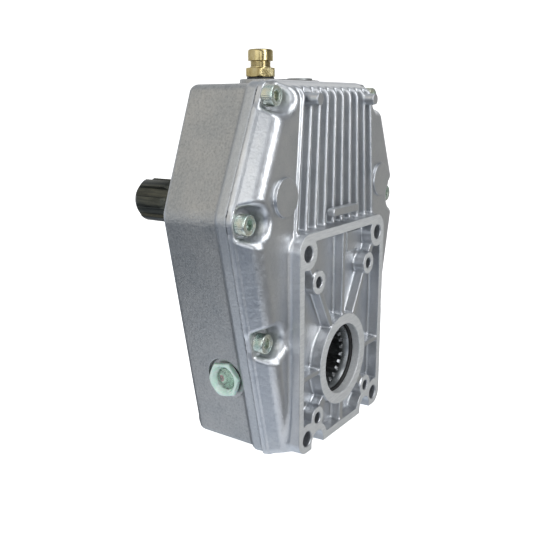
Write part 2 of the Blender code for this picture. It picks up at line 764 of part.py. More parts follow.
def make_input_shaft():
    shaft = turned(
        [
            (0, 16.9), (13.9, 16.9), (14.7, 17.7), (14.7, 32.6), (20.7, 32.6), (20.7, 57.3),
            (24.4, 57.3), (24.4, 58.7), (19.7, 58.7), (19.7, 77.0), (18.4, 77.0), (18.4, 79.0),
            (19.0, 79.0), (19.0, 96.0), (17.4, 98.0), (17.4, 181.6), (12.6, SHAFT_TIP_Y),
            (0, SHAFT_TIP_Y),
        ],
        "Y", (0, 0, CENTRES), 24,
    )
    # six spline grooves, the teeth lying at 0, 60, 120 ... degrees
    grooves = []
    for number in range(6):
        middle = math.radians(30 + 60 * number)
        half_low = math.radians(30) - math.asin(4.35 / 14.8)
        half_high = math.radians(30) - math.asin(4.35 / 19.5)
        section = []
        for radius, half in ((19.5, -half_high), (14.8, -half_low), (14.8, 0.0), (14.8, half_low), (19.5, half_high)):
            section.append((radius * math.cos(middle + half), radius * math.sin(middle + half)))
        grooves.append(
            loft(
                [[(x, y, CENTRES + z) for x, z in section] for y in (106.0, 192.0)]
            )
        )
    # the locking groove, and the keyway under the gear
    lock = turned(
        [(15.0, 145.6), (20.0, 142.6), (20.0, 155.8), (15.0, 152.8)], "Y", (0, 0, CENTRES), 24
    )
    cut(shaft, *grooves, lock, block((-5.15, 34.7, CENTRES + 15.9), (5.15, 55.3, CENTRES + 30)))
    finish(shaft, "input_shaft", DARK_STEEL)

    key = block((-4.85, 35.0, CENTRES + 16.2), (4.85, 55.0, CENTRES + 23.9))
    finish(key, "shaft_key", GEAR_STEEL)
    spacer = turned([(15.0, 29.6), (18.4, 29.6), (18.4, 32.3), (15.0, 32.3)], "Y", (0, 0, CENTRES), 24)
    finish(spacer, "gear_spacer", GEAR_STEEL)

    clip = turned([(18.7, 77.3), (22.6, 77.3), (22.6, 78.7), (18.7, 78.7)], "Y", (0, 0, CENTRES), 24)
    cut(clip, block((-3.0, 70.0, CENTRES - 30), (3.0, 85.0, CENTRES)))
    finish(clip, "shaft_circlip", DARK_STEEL)

    seal = turned(
        [(19.5, 85.0), (21.5, 82.0), (27.2, 82.0), (27.2, 90.0), (21.0, 90.0), (21.0, 86.6), (19.5, 86.6)],
        "Y", (0, 0, CENTRES), 24,
    )
    finish(seal, "input_seal", RUBBER)
    ring = turned([(25.2, 7.4), (26.6, 6.6), (30.7, 6.6), (30.7, 11.7), (25.2, 11.7)], "Y", (0, 0, 0), 24)
    finish(ring, "output_seal", RUBBER)


# ------------------------------------------------------------------ bearings
def race(bore, outer, ball, y0, y1, inside, centre_z, name):
    """One race of a ball bearing, with the groove its balls run in."""
    pitch = (bore + outer) / 2
    middle = (y0 + y1) / 2
    shoulder = pitch - ball * 0.74 if inside else pitch + ball * 0.74
    reach = ball + 0.8
    spread = math.acos(ball * 0.74 / reach)
    sign = -1 if inside else 1
    groove = [
        (pitch + sign * reach * math.cos(spread * k), middle + reach * math.sin(spread * k))
        for k in (1.0, 1 / 3, -1 / 3, -1.0)
    ]
    far = bore if inside else outer
    profile = [(far, y0), (far, y1), (shoulder, y1), *groove, (shoulder, y0)]
    ring = turned(profile, "Y", (0, 0, centre_z), 24)
    return finish(ring, name, RACE_STEEL)


def ball_cage(bore, outer, ball, count, y0, y1, centre_z, name):
    """The cage with its balls, which go round together."""
    pitch = (bore + outer) / 2
    middle = (y0 + y1) / 2
    cage = turned(
        [
            (pitch - 0.8, middle - ball * 0.5), (pitch + 0.8, middle - ball * 0.5),
            (pitch + 0.8, middle + ball * 0.5), (pitch - 0.8, middle + ball * 0.5),
        ],
        "Y", (0, 0, centre_z), 2 * count,
    )
    balls = []
    for number in range(count):
        angle = 2 * math.pi * (number + 0.5) / count
        bm = bmesh.new()
        bmesh.ops.create_uvsphere(
            bm, u_segments=8, v_segments=4, radius=ball,
            matrix=Matrix.Translation(
                (pitch * math.cos(angle), middle, centre_z + pitch * math.sin(angle))
            ),
        )
        balls.append(put(bm, "ball"))
    add(cage, *balls)
    return finish(cage, name, RACE_STEEL)


def make_bearing(prefix, bore, outer, ball, count, y0, y1, centre_z):
    race(bore, outer, ball, y0, y1, False, centre_z, f"{prefix}_outer_race")
    race(bore, outer, ball, y0, y1, True, centre_z, f"{prefix}_inner_race")
    ball_cage(bore, outer, ball, count, y0, y1, centre_z, f"{prefix}_ball_cage")


# ------------------------------------------------------------------ assembly
make_rear_housing()
make_front_cover()
make_gasket()
make_screws()
make_dowels()
make_top_fittings()
make_side_fittings()
make_gears()
make_input_shaft()
make_bearing("input_front", 15.0, 27.5, 3.5, 8, 16.3, 29.3, CENTRES)
make_bearing("input_rear", 20.0, 40.0, 5.8, 7, 59.0, 77.0, CENTRES)
make_bearing("output_front", 25.0, 40.0, 4.2, 9, 12.3, 28.3, 0.0)
make_bearing("output_rear", 25.0, 40.0, 4.2, 9, 59.5, 75.5, 0.0)

for spare in list(CUTTERS.objects):
    bpy.data.objects.remove(spare, do_unlink=True)
bpy.data.collections.remove(CUTTERS)
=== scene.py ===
"""Looks of the pump drive gearbox: cast shells with fillets, drafts and machined faces,
turned fittings, plated screws, and a plain studio.

Lengths are in millimetres in the gearbox's own frame (x across, y from the pump
plate's face backwards, z up from the pump bore's axis); meshes are made in metres.
"""

import json
import math

import bmesh
import bpy
import numpy as np
from mathutils import Matrix, Vector

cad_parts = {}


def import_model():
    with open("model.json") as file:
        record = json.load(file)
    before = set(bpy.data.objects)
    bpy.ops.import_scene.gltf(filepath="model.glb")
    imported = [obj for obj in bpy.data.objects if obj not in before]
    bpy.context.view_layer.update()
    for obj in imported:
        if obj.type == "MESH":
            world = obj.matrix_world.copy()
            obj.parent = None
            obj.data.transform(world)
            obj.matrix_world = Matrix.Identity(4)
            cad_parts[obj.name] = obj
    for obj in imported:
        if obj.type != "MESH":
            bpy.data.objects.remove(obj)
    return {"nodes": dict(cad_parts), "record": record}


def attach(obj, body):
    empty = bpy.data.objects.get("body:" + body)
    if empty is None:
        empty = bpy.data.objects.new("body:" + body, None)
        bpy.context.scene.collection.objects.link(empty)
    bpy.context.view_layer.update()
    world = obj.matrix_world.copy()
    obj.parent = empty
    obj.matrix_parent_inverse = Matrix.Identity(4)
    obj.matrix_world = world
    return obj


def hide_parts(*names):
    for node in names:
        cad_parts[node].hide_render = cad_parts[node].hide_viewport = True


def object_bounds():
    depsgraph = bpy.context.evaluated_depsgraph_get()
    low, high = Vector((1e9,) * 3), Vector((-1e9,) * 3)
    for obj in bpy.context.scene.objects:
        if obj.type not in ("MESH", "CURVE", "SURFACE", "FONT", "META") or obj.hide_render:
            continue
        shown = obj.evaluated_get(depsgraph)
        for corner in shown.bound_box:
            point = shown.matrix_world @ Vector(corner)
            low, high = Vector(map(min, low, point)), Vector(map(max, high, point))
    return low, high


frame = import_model()
CAD_BOX = [[float(v) for v in corner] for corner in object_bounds()]

MM = 0.001
SHIFT = np.array((0.0, -93.0, 55.5))


def world(points):
    return (np.asarray(points, float) + SHIFT) * MM


# ------------------------------------------------------------ distance fields
def soft_or(a, b, r):
    """Both bodies, with a fillet of radius r where they meet."""
    u = np.maximum(r - a, 0.0)
    v = np.maximum(r - b, 0.0)
    return np.maximum(r, np.minimum(a, b)) - np.sqrt(u * u + v * v)


def soft_and(a, b, r):
    """What both bodies share, with its new edge rounded to radius r."""
    u = np.maximum(r + a, 0.0)
    v = np.maximum(r + b, 0.0)
    return np.minimum(-r, np.maximum(a, b)) + np.sqrt(u * u + v * v)


def less(a, b, r):
    return soft_and(a, -b, r)


def rod(a, b, radius):
    return np.hypot(a, b) - radius


def slab(a, b, half_a, half_b, radius):
    """A rectangle with rounded corners, about the origin."""
    qa = np.abs(a) - half_a + radius
    qb = np.abs(b) - half_b + radius
    return np.hypot(np.maximum(qa, 0.0), np.maximum(qb, 0.0)) + np.minimum(np.maximum(qa, qb), 0.0) - radius


def strip(x, z, start, end):
    """Distance to a straight line piece between two (x, z) points."""
    (x0, z0), (x1, z1) = start, end
    dx, dz = x1 - x0, z1 - z0
    t = np.clip(((x - x0) * dx + (z - z0) * dz) / (dx * dx + dz * dz), 0.0, 1.0)
    return np.hypot(x - x0 - t * dx, z - z0 - t * dz)


TOP, WIDE, LOW = (66.5, 192.0), (102.0, 111.0), (64.5, -55.5)


def side_line(ax, z, p, q):
    dx, dz = q[0] - p[0], q[1] - p[1]
    size = np.hypot(dx, dz)
    return (ax - p[0]) * (-dz / size) + (z - p[1]) * (dx / size)


def outline(ax, z, top, wide, low, rounds):
    """The six-sided outline through corners that may move with the depth."""
    shape = soft_and(z - top[1], side_line(ax, z, top, wide), rounds[0])
    shape = soft_and(shape, side_line(ax, z, wide, low), rounds[1])
    return soft_and(shape, low[1] - z, rounds[2])


def casing(ax, z, inset, rounds=(4.1, 2.3, 5.4), low=0.65):
    """The casing's six-sided outline, moved in by the inset."""
    top = z - TOP[1] + inset
    upper = side_line(ax, z, TOP, WIDE) + inset
    lower = side_line(ax, z, WIDE, LOW) + inset
    bottom = LOW[1] - z + inset * low
    shape = soft_and(top, upper, rounds[0])
    shape = soft_and(shape, lower, rounds[1])
    return soft_and(shape, bottom, rounds[2])


SIDE_SCREWS = ((64.3, 182.9), (93.2, 108.3), (75.6, 29.5))
LOW_SCREW = (35.5, -48.9)
DOWEL = (85.5, 65.0)
OUTER_HOLES = ((49.2, 85.0), (49.2, -43.0))
INNER_HOLES = ((35.75, 63.7), (35.75, -32.5))


def cover_field(x, y, z):
    """The front cover."""
    ax = np.abs(x)
    # side wall with its draft, the ridge and the front wall
    wall = casing(ax, z, 0.6 + 0.35 * (21.6 - y), (4.6, 3.6, 5.2)) / 1.05
    body = soft_and(wall, 8.0 - y, 6.4)

    # fins with rounded tips, which round over into the top
    half = 53.4 - (z - 98.0) * (8.1 / 88.0)
    pitch = half * (2.0 / 9.0)
    along = (x + half) / pitch
    across = np.abs(along - np.clip(np.round(along), 0, 9)) * pitch
    fin = soft_and(across - (1.35 + 0.12 * (y - 6.3)), soft_and(6.3 - y, z - 188.9, 7.6), 1.3)
    fin = np.maximum(fin, np.maximum(y - 15.0, 96.5 - z))
    groove = soft_and(np.maximum(ax - half, 97.5 - z), y - 12.2, 1.2)
    body = less(body, groove, 1.2)
    body = soft_or(body, fin, 1.6)

    # pump plate
    plate = slab(x, z - 22.5, 60.0, 75.5, np.where(z > 22.5, 12.0, 10.0)) - 0.03 * y
    body = soft_or(body, np.maximum(plate, y - 12.5), 3.0)
    pocket = soft_and(slab(x, z - 22.5, 54.0, 69.5, 3.0) + 0.06 * y, y - 8.5, 1.7)
    body = less(body, pocket, 0.4)
    draft = 0.05 * y
    ring = rod(x, z, 33.0) - draft
    standing = ring
    for hx, hz in OUTER_HOLES:
        standing = soft_or(standing, rod(ax - hx, z - hz, 10.8) - draft, 1.2)
    for hx, hz in INNER_HOLES:
        standing = soft_or(standing, rod(ax - hx, z - hz, 8.0) - draft, 1.2)
    standing = soft_or(standing, rod(ax - 35.5, z + 50.0, 12.6) - draft, 1.2)
    body = soft_or(body, np.maximum(np.maximum(standing, y - 11.0), slab(x, z - 22.5, 57.0, 72.5, 3.0)), 1.7)
    ribs = None
    for start, end, width, front in (
        ((31.0, 0.0), (56.0, 0.0), 3.4, 1.0),
        ((15.0, 26.7), INNER_HOLES[0], 4.2, 1.2),
        (INNER_HOLES[0], OUTER_HOLES[0], 5.0, 1.2),
        ((20.0, -18.2), INNER_HOLES[1], 7.0, 1.2),
        ((0.0, 30.0), (0.0, 94.0), 3.6, 1.0),
        ((0.0, -30.0), (0.0, -49.0), 4.6, 1.0),
    ):
        rib = soft_and(strip(ax, z, start, end) - width / 2 - draft, front - y, 0.8)
        ribs = rib if ribs is None else soft_or(ribs, rib, 0.8)
    body = soft_or(body, np.maximum(ribs, y - 11.0), 1.5)
    label = soft_and(slab(x - 26.5, z - 81.75, 10.5, 7.25, 1.2), 7.5 - y, 0.4)
    body = soft_or(body, np.maximum(label, y - 10.0), 0.4)

    # notches and screw pockets, then the lip that the screws bear on
    notch = np.hypot(ax - 35.5, np.maximum(z + 50.0, 0.0)) - 7.8
    body = less(body, np.maximum(notch, y - 24.0), 0.9)
    for sx, sz in SIDE_SCREWS:
        scoop = rod(ax - sx, z - sz - 0.8, 0.0) - (9.1 + (22.0 - y) * 0.21)
        body = less(body, np.maximum(scoop, y - 24.2), 4.4)
    lip = soft_and(casing(ax, z, 0.15), 22.0 - y, 1.3)
    body = soft_or(body, lip, 1.8)
    body = soft_and(body, y - 25.7, 0.8)
    body = soft_and(body, -y, 0.35)

    # pads, cross bar and the two round bosses
    pad = soft_and(rod(ax - 65.5, z - 122.3, 12.3) - 0.08 * (y - 6.0), 5.7 - y, 0.6)
    body = soft_or(body, np.maximum(pad, y - 10.5), 0.7)
    bar = soft_and(slab(x, z - 107.4, 17.6, 2.7, 2.5), np.abs(y - 2.9) - 3.0, 1.2)
    body = soft_or(body, bar, 0.8)
    peg = soft_and(rod(ax - 38.1, z - 181.0, 3.7) - 0.02 * (y + 0.7), -0.7 - y, 0.5)
    body = soft_or(body, np.maximum(peg, y - 13.5), 0.9)

    # the inside
    front = 14.2 + 1.8 * np.clip((z - 88.0) / 8.0, 0.0, 1.0)
    hollow = soft_and(casing(ax, z, 10.4 - (y - 16.0) * 0.2, (3.0, 2.0, 3.0), 0.85), front - y, 2.0)
    for sx, sz in SIDE_SCREWS:
        hollow = less(hollow, rod(ax - sx, z - sz, 17.0), 2.0)
    hollow = less(hollow, rod(ax - LOW_SCREW[0], z - LOW_SCREW[1], 12.2), 1.5)
    hollow = less(hollow, rod(ax - DOWEL[0], z - DOWEL[1], 7.0), 1.5)
    body = less(body, hollow, 0.8)
    low_boss = np.maximum(rod(x, z, 46.0), np.maximum(10.3 - y, y - 28.4))
    high_boss = np.maximum(rod(x, z - 102.0, 33.5), np.maximum(13.5 - y, y - 29.6))
    body = soft_or(body, np.minimum(low_boss, high_boss), 1.5)

    # bores and holes
    body = less(body, np.maximum(rod(x, z, 25.4), y - 7.3), 0.55)
    body = less(body, np.maximum(rod(x, z, 31.0), np.maximum(6.3 - y, y - 13.0)), 0.2)
    body = less(body, np.maximum(rod(x, z, 40.3), 12.0 - y), 0.4)
    body = less(body, np.maximum(rod(x, z - 102.0, 27.8), 16.0 - y), 0.4)
    for hx, hz in OUTER_HOLES:
        body = less(body, np.maximum(rod(ax - hx, z - hz, 5.25), y - 11.8), 0.8)
    for hx, hz in INNER_HOLES:
        body = less(body, np.maximum(rod(ax - hx, z - hz, 3.8), y - 11.8), 0.7)
    for sx, sz in (*SIDE_SCREWS, LOW_SCREW):
        body = less(body, np.maximum(rod(ax - sx, z - sz, 4.1), 18.0 - y), 0.3)
    body = less(body, np.maximum(rod(ax - DOWEL[0], z - DOWEL[1], 3.2), 18.0 - y), 0.3)
    return np.maximum(body, np.maximum(-55.45 - z, ax - 101.38))


def rear_field(x, y, z):
    """The rear housing."""
    ax = np.abs(x)
    t = (y - 35.3) / 43.7
    wall = outline(
        ax, z, (64.9 - 0.5 * t, 190.6 - 0.2 * t), (100.0 - 4.2 * t, 111.0 - 1.6 * t), (63.6 + 0.3 * t, -53.2 + t), (4.6, 3.4, 5.4)
    )
    body = soft_and(wall, y - 83.5, 5.0)
    lip = soft_and(casing(ax, z, 0.1 + 0.009 * np.clip(34.0 - y, 0.0, 8.0) ** 2), y - 34.8, 2.4)
    body = soft_or(body, lip, 2.2)
    foot = slab(ax - 35.5, y - 57.0, 13.5, 24.0, 3.0) + 0.04 * (-46.0 - z)
    foot = soft_and(foot, -55.5 - z, 0.6)
    body = soft_or(body, np.maximum(foot, z + 40.0), 2.0)
    heel = soft_and(rod(ax - 50.0, z + 44.5, 10.0), y - 87.0, 1.5)
    body = soft_or(body, np.maximum(heel, 79.3 - y), 1.0)
    pad = soft_and(slab(x, y - 54.0, 36.5, 17.0, 16.9) + 0.05 * (z - 190.0), z - 194.0, 0.8)
    body = soft_or(body, np.maximum(pad, 182.0 - z), 2.0)
    hub = np.hypot(x, z - 102.0) - (42.0 - 0.19 * np.maximum(y - 79.0, 0.0))
    hub = soft_and(hub, y - 94.0, 1.6)
    body = soft_or(body, np.maximum(hub, 79.0 - y), 4.0)
    body = soft_and(body, 26.5 - y, 0.8)

    t = (y - 20.0) / 57.5
    hollow = outline(
        ax, z, (60.5 - 2.5 * t, 185.0 - 1.5 * t), (94.8 - 3.0 * t, 110.5 - 0.5 * t), (58.2 - 1.8 * t, -47.8 + 2.6 * t), (3.5, 2.0, 3.5)
    )
    hollow = soft_and(hollow, y - 77.5, 4.0)
    for px, pz in ((0.0, 0.0), (0.0, 102.0)):
        hollow = less(hollow, np.maximum(rod(x - px, z - pz, 46.0), 59.0 - y), 2.0)
    for sx, sz in SIDE_SCREWS:
        hollow = less(hollow, np.maximum(rod(ax - sx, z - sz, 8.8), y - 44.0), 1.5)
    hollow = less(hollow, np.maximum(rod(ax - LOW_SCREW[0], z - LOW_SCREW[1], 8.4), y - 44.0), 1.5)
    hollow = less(hollow, np.maximum(rod(ax - DOWEL[0], z - DOWEL[1], 7.0), y - 42.0), 1.5)
    hollow = less(hollow, np.maximum(rod(y - 48.9, z + 1.5, 12.0), 63.0 - ax), 1.5)
    body = less(body, hollow, 0.6)

    body = less(body, np.maximum(rod(x, z, 40.3), np.maximum(50.0 - y, y - 76.0)), 0.4)
    body = less(body, np.maximum(rod(x, z - 102.0, 40.3), np.maximum(50.0 - y, y - 77.3)), 0.4)
    body = less(body, np.maximum(rod(x, z - 102.0, 24.6), 75.0 - y), 0.4)
    body = less(body, np.maximum(rod(x, z - 102.0, 27.5), 81.5 - y), 0.9)
    for sx, sz in (*SIDE_SCREWS, LOW_SCREW):
        body = less(body, np.maximum(rod(ax - sx, z - sz, 4.1), y - 33.2), 0.3)
    body = less(body, np.maximum(rod(ax - DOWEL[0], z - DOWEL[1], 3.2), y - 34.0), 0.3)
    body = less(body, np.maximum(rod(ax - 24.5, y - 54.0, 6.6), 176.0 - z), 0.5)
    body = less(body, np.maximum(rod(y - 48.9, z + 1.5, 14.8), 72.4 - ax), 0.35)
    body = less(body, np.maximum(rod(y - 48.9, z + 1.5, 8.5), 55.0 - ax), 0.5)
    return np.maximum(body, np.maximum(-55.45 - z, ax - 101.38))


# --------------------------------------------------------- fields into meshes
def slope(field, points, step=0.02):
    """The field's value and unit gradient at the points."""
    x, y, z = points.T
    here = field(x, y, z)
    grad = np.stack(
        [field(x + step, y, z) - here, field(x, y + step, z) - here, field(x, y, z + step) - here], -1
    ) / step
    size = np.linalg.norm(grad, axis=1, keepdims=True)
    return here, grad, grad / np.maximum(size, 1e-9)


def contour(field, low, high, step):
    """Vertices and quads of the field's zero surface, with its edges kept."""
    low = np.array(low, float)
    count = [int(math.ceil((h - l) / step)) + 1 for l, h in zip(low, high)]
    axes = [(l + step * np.arange(n)).astype(np.float32) for l, n in zip(low, count)]
    values = field(axes[0][:, None, None], axes[1][None, :, None], axes[2][None, None, :])
    values = np.broadcast_to(values, count)
    solid = values < 0
    cells, faces, spots, normals = [], [], [], []
    size = np.array(count) - 1
    stride = np.array((size[1] * size[2], size[2], 1))
    for axis in range(3):
        a = [slice(None)] * 3
        b = [slice(None)] * 3
        a[axis], b[axis] = slice(0, -1), slice(1, None)
        start = np.argwhere(solid[tuple(a)] != solid[tuple(b)])
        others = ((axis + 1) % 3, (axis + 2) % 3)
        for other in others:
            start = start[(start[:, other] >= 1) & (start[:, other] <= size[other] - 1)]
        end = start.copy()
        end[:, axis] += 1
        f0, f1 = values[tuple(start.T)], values[tuple(end.T)]
        share = (f0 / (f0 - f1)).astype(float)
        point = low + start * step
        base = point[:, axis].copy()
        point[:, axis] += share * step
        here, grad, normal = slope(field, point)
        steep = np.where(np.abs(grad[:, axis]) > 0.2, grad[:, axis], np.inf)
        point[:, axis] = np.clip(point[:, axis] - here / steep, base, base + step)
        around = []
        for da, db in ((-1, -1), (0, -1), (0, 0), (-1, 0)):
            cell = start.copy()
            cell[:, others[0]] += da
            cell[:, others[1]] += db
            around.append(cell @ stride)
        around = np.stack(around, 1)
        outward = solid[tuple(start.T)]
        faces.append(np.where(outward[:, None], around, around[:, ::-1]))
        cells.append(around)
        spots.append(point)
        normals.append(normal)
    cells, faces = np.concatenate(cells), np.concatenate(faces)
    spots, normals = np.concatenate(spots), np.concatenate(normals)
    ids, inverse = np.unique(cells.ravel(), return_inverse=True)
    inverse = inverse.ravel()
    total = len(ids)

    def gather(weight):
        return np.bincount(inverse, np.repeat(weight, 4), total)

    number = np.bincount(inverse, minlength=total).astype(float)
    mean = np.stack([gather(spots[:, i]) for i in range(3)], -1) / number[:, None]
    matrix = np.zeros((total, 3, 3))
    for i in range(3):
        for j in range(i, 3):
            matrix[:, i, j] = matrix[:, j, i] = gather(normals[:, i] * normals[:, j])
    reach = (normals * spots).sum(1)
    right = np.stack([gather(normals[:, i] * reach) for i in range(3)], -1)
    right -= np.einsum("nij,nj->ni", matrix, mean)
    matrix += np.eye(3) * (0.03 * number)[:, None, None]
    place = mean + np.linalg.solve(matrix, right[:, :, None])[:, :, 0]
    index = np.stack([ids // stride[0], ids // stride[1] % size[1], ids % size[2]], -1)
    corner = low + index * step
    place = np.clip(place, corner + 0.02 * step, corner + 0.98 * step)
    lookup = np.searchsorted(ids, faces.ravel()).reshape(-1, 4)
    return place, lookup


def shell(name, field, low, high, step, limit):
    """A cast piece from its field, thinned to the limit, shaded by the field's own slope."""
    place, quads = contour(field, low, high, step)
    mesh = bpy.data.meshes.new(name)
    mesh.vertices.add(len(place))
    mesh.vertices.foreach_set("co", world(place).astype(np.float32).ravel())
    mesh.loops.add(quads.size)
    mesh.loops.foreach_set("vertex_index", quads.astype(np.int32).ravel())
    mesh.polygons.add(len(quads))
    mesh.polygons.foreach_set("loop_start", np.arange(0, quads.size, 4, dtype=np.int32))
    mesh.update(calc_edges=True)
    mesh.validate()
    obj = bpy.data.objects.new(name, mesh)
    bpy.context.scene.collection.objects.link(obj)
    if 2 * len(quads) > limit:
        thin = obj.modifiers.new("thin", "DECIMATE")
        thin.ratio = limit / (2.0 * len(quads))
        thin.use_collapse_triangulate = True
        settle(obj)
    drop_specks(obj)
    mesh = obj.data
    spots = np.empty(len(mesh.vertices) * 3, np.float32)
    mesh.vertices.foreach_get("co", spots)
    spots = np.clip(spots.reshape(-1, 3), CAD_BOX[0], CAD_BOX[1])
    mesh.vertices.foreach_set("co", spots.astype(np.float32).ravel())
    mesh.name = name
    count, corners, polygons = len(mesh.vertices), len(mesh.loops), len(mesh.polygons)
    co = np.zeros(count * 3, np.float32)
    mesh.vertices.foreach_get("co", co)
    co = co.reshape(-1, 3).astype(float) / MM - SHIFT
    owner = np.zeros(corners, np.int32)
    mesh.loops.foreach_get("vertex_index", owner)
    starts = np.zeros(polygons, np.int32)
    sizes = np.zeros(polygons, np.int32)
    mesh.polygons.foreach_get("loop_start", starts)
    mesh.polygons.foreach_get("loop_total", sizes)
    face_of = np.repeat(np.arange(polygons), sizes)
    flat = np.zeros(polygons * 3, np.float32)
    mesh.polygons.foreach_get("normal", flat)
    flat = flat.reshape(-1, 3).astype(float)[face_of]
    middle = np.stack([np.bincount(face_of, co[owner][:, i], polygons) for i in range(3)], -1)
    middle = (middle / sizes[:, None])[face_of]
    normal = slope(field, co)[2][owner]
    sharp = (normal * flat).sum(1) < 0.955
    inner = co[owner[sharp]] + 0.3 * (middle[sharp] - co[owner[sharp]])
    better = slope(field, inner)[2]
    bad = (better * flat[sharp]).sum(1) < 0.75
    better[bad] = flat[sharp][bad]
    normal[sharp] = better
    mesh.polygons.foreach_set("use_smooth", np.ones(polygons, bool))
    mesh.normals_split_custom_set(normal.tolist())
    return obj, co, owner, flat


def drop_specks(obj):
    """Removes any crumb that isn't part of the main skin."""
    bm = bmesh.new()
    bm.from_mesh(obj.data)
    bm.verts.ensure_lookup_table()
    seen = [False] * len(bm.verts)
    groups = []
    for seed in bm.verts:
        if seen[seed.index]:
            continue
        seen[seed.index] = True
        group, queue = [], [seed]
        while queue:
            vert = queue.pop()
            group.append(vert)
            for edge in vert.link_edges:
                other = edge.other_vert(vert)
                if not seen[other.index]:
                    seen[other.index] = True
                    queue.append(other)
        groups.append(group)
    groups.sort(key=len, reverse=True)
    small = [v for group in groups[1:] if len(group) < 200 for v in group]
    if small:
        bmesh.ops.delete(bm, geom=small, context="VERTS")
        bm.to_mesh(obj.data)
    bm.free()


def settle(obj):
    """Applies the object's modifiers."""
    graph = bpy.context.evaluated_depsgraph_get()
    mesh = bpy.data.meshes.new_from_object(obj.evaluated_get(graph))
    old = obj.data
    obj.modifiers.clear()
    obj.data = mesh
    bpy.data.meshes.remove(old)


# --------------------------------------------------------------- turned pieces
def soften(profile, radius=0.3, steps=3, closed=False):
    """The profile's corners, each rounded."""
    points = [np.array(p, float) for p in profile]
    result = []
    last = len(points) - 1
    for i, here in enumerate(points):
        if not closed and i in (0, last):
            result.append(tuple(here))
            continue
        back = points[i - 1] - here
        ahead = points[(i + 1) % len(points)] - here
        lb, la = np.linalg.norm(back), np.linalg.norm(ahead)
        r = min(radius, 0.45 * lb, 0.45 * la)
        a, b = here + back / lb * r, here + ahead / la * r
        for s in range(steps + 1):
            t = s / steps
            result.append(tuple((1 - t) ** 2 * a + 2 * t * (1 - t) * here + t * t * b))
    return result


def hexagon(angle, flats, turn=0.0):
    """The radius of a hexagon at each angle; its corners lie at the turn angle."""
    part = (angle - turn + math.pi / 6) % (math.pi / 3) - math.pi / 6
    return flats / 2 / np.cos(math.pi / 6 - np.abs(part))


def spin(name, rows, centre, axis="Y", count=96, closed=False, sharp=32.0):
    """A piece turned about an axis. A row is a height and a radius, which may vary with the angle."""
    angle = np.arange(count) * 2 * math.pi / count
    verts, faces = [], []
    for radius, height in rows:
        r = radius(angle) if callable(radius) else np.full(count, float(radius))
        a, b = r * np.cos(angle), r * np.sin(angle)
        h = np.full(count, float(height))
        ring = {"Y": (a, h, b), "Z": (a, b, h), "X": (h, a, b)}[axis]
        verts.append(np.stack(ring, -1) + np.array(centre, float))
    verts = world(np.concatenate(verts))
    loops = len(rows)
    for i in range(loops if closed else loops - 1):
        j = (i + 1) % loops
        for k in range(count):
            m = (k + 1) % count
            faces.append((i * count + k, i * count + m, j * count + m, j * count + k))
    return solid(name, verts, faces, sharp)


def rings(name, sections, sharp=32.0):
    """A closed solid through sections with the same number of (x, y, z) points."""
    count = len(sections[0])
    verts = world(np.concatenate([np.array(s, float) for s in sections]))
    faces = []
    for i in range(len(sections) - 1):
        for k in range(count):
            m = (k + 1) % count
            faces.append((i * count + k, i * count + m, (i + 1) * count + m, (i + 1) * count + k))
    last = (len(sections) - 1) * count
    faces.append(tuple(range(count)))
    faces.append(tuple(last + k for k in range(count)))
    return solid(name, verts, faces, sharp)


def solid(name, verts, faces, sharp):
    mesh = bpy.data.meshes.new(name)
    mesh.from_pydata([tuple(v) for v in verts], [], faces)
    bm = bmesh.new()
    bm.from_mesh(mesh)
    bmesh.ops.remove_doubles(bm, verts=bm.verts, dist=1e-7)
    bmesh.ops.dissolve_degenerate(bm, edges=bm.edges, dist=1e-7)
    bmesh.ops.recalc_face_normals(bm, faces=bm.faces)
    if bm.calc_volume(signed=True) < 0:
        bmesh.ops.reverse_faces(bm, faces=bm.faces)
    bm.to_mesh(mesh)
    bm.free()
    mesh.shade_smooth()
    mesh.set_sharp_from_angle(angle=math.radians(sharp))
    obj = bpy.data.objects.new(name, mesh)
    bpy.context.scene.collection.objects.link(obj)
    return obj


def place(obj, look, node, body, slot):
    obj.data.materials.clear()
    obj.data.materials.append(look)
    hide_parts(node)
    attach(obj, body)
    return obj


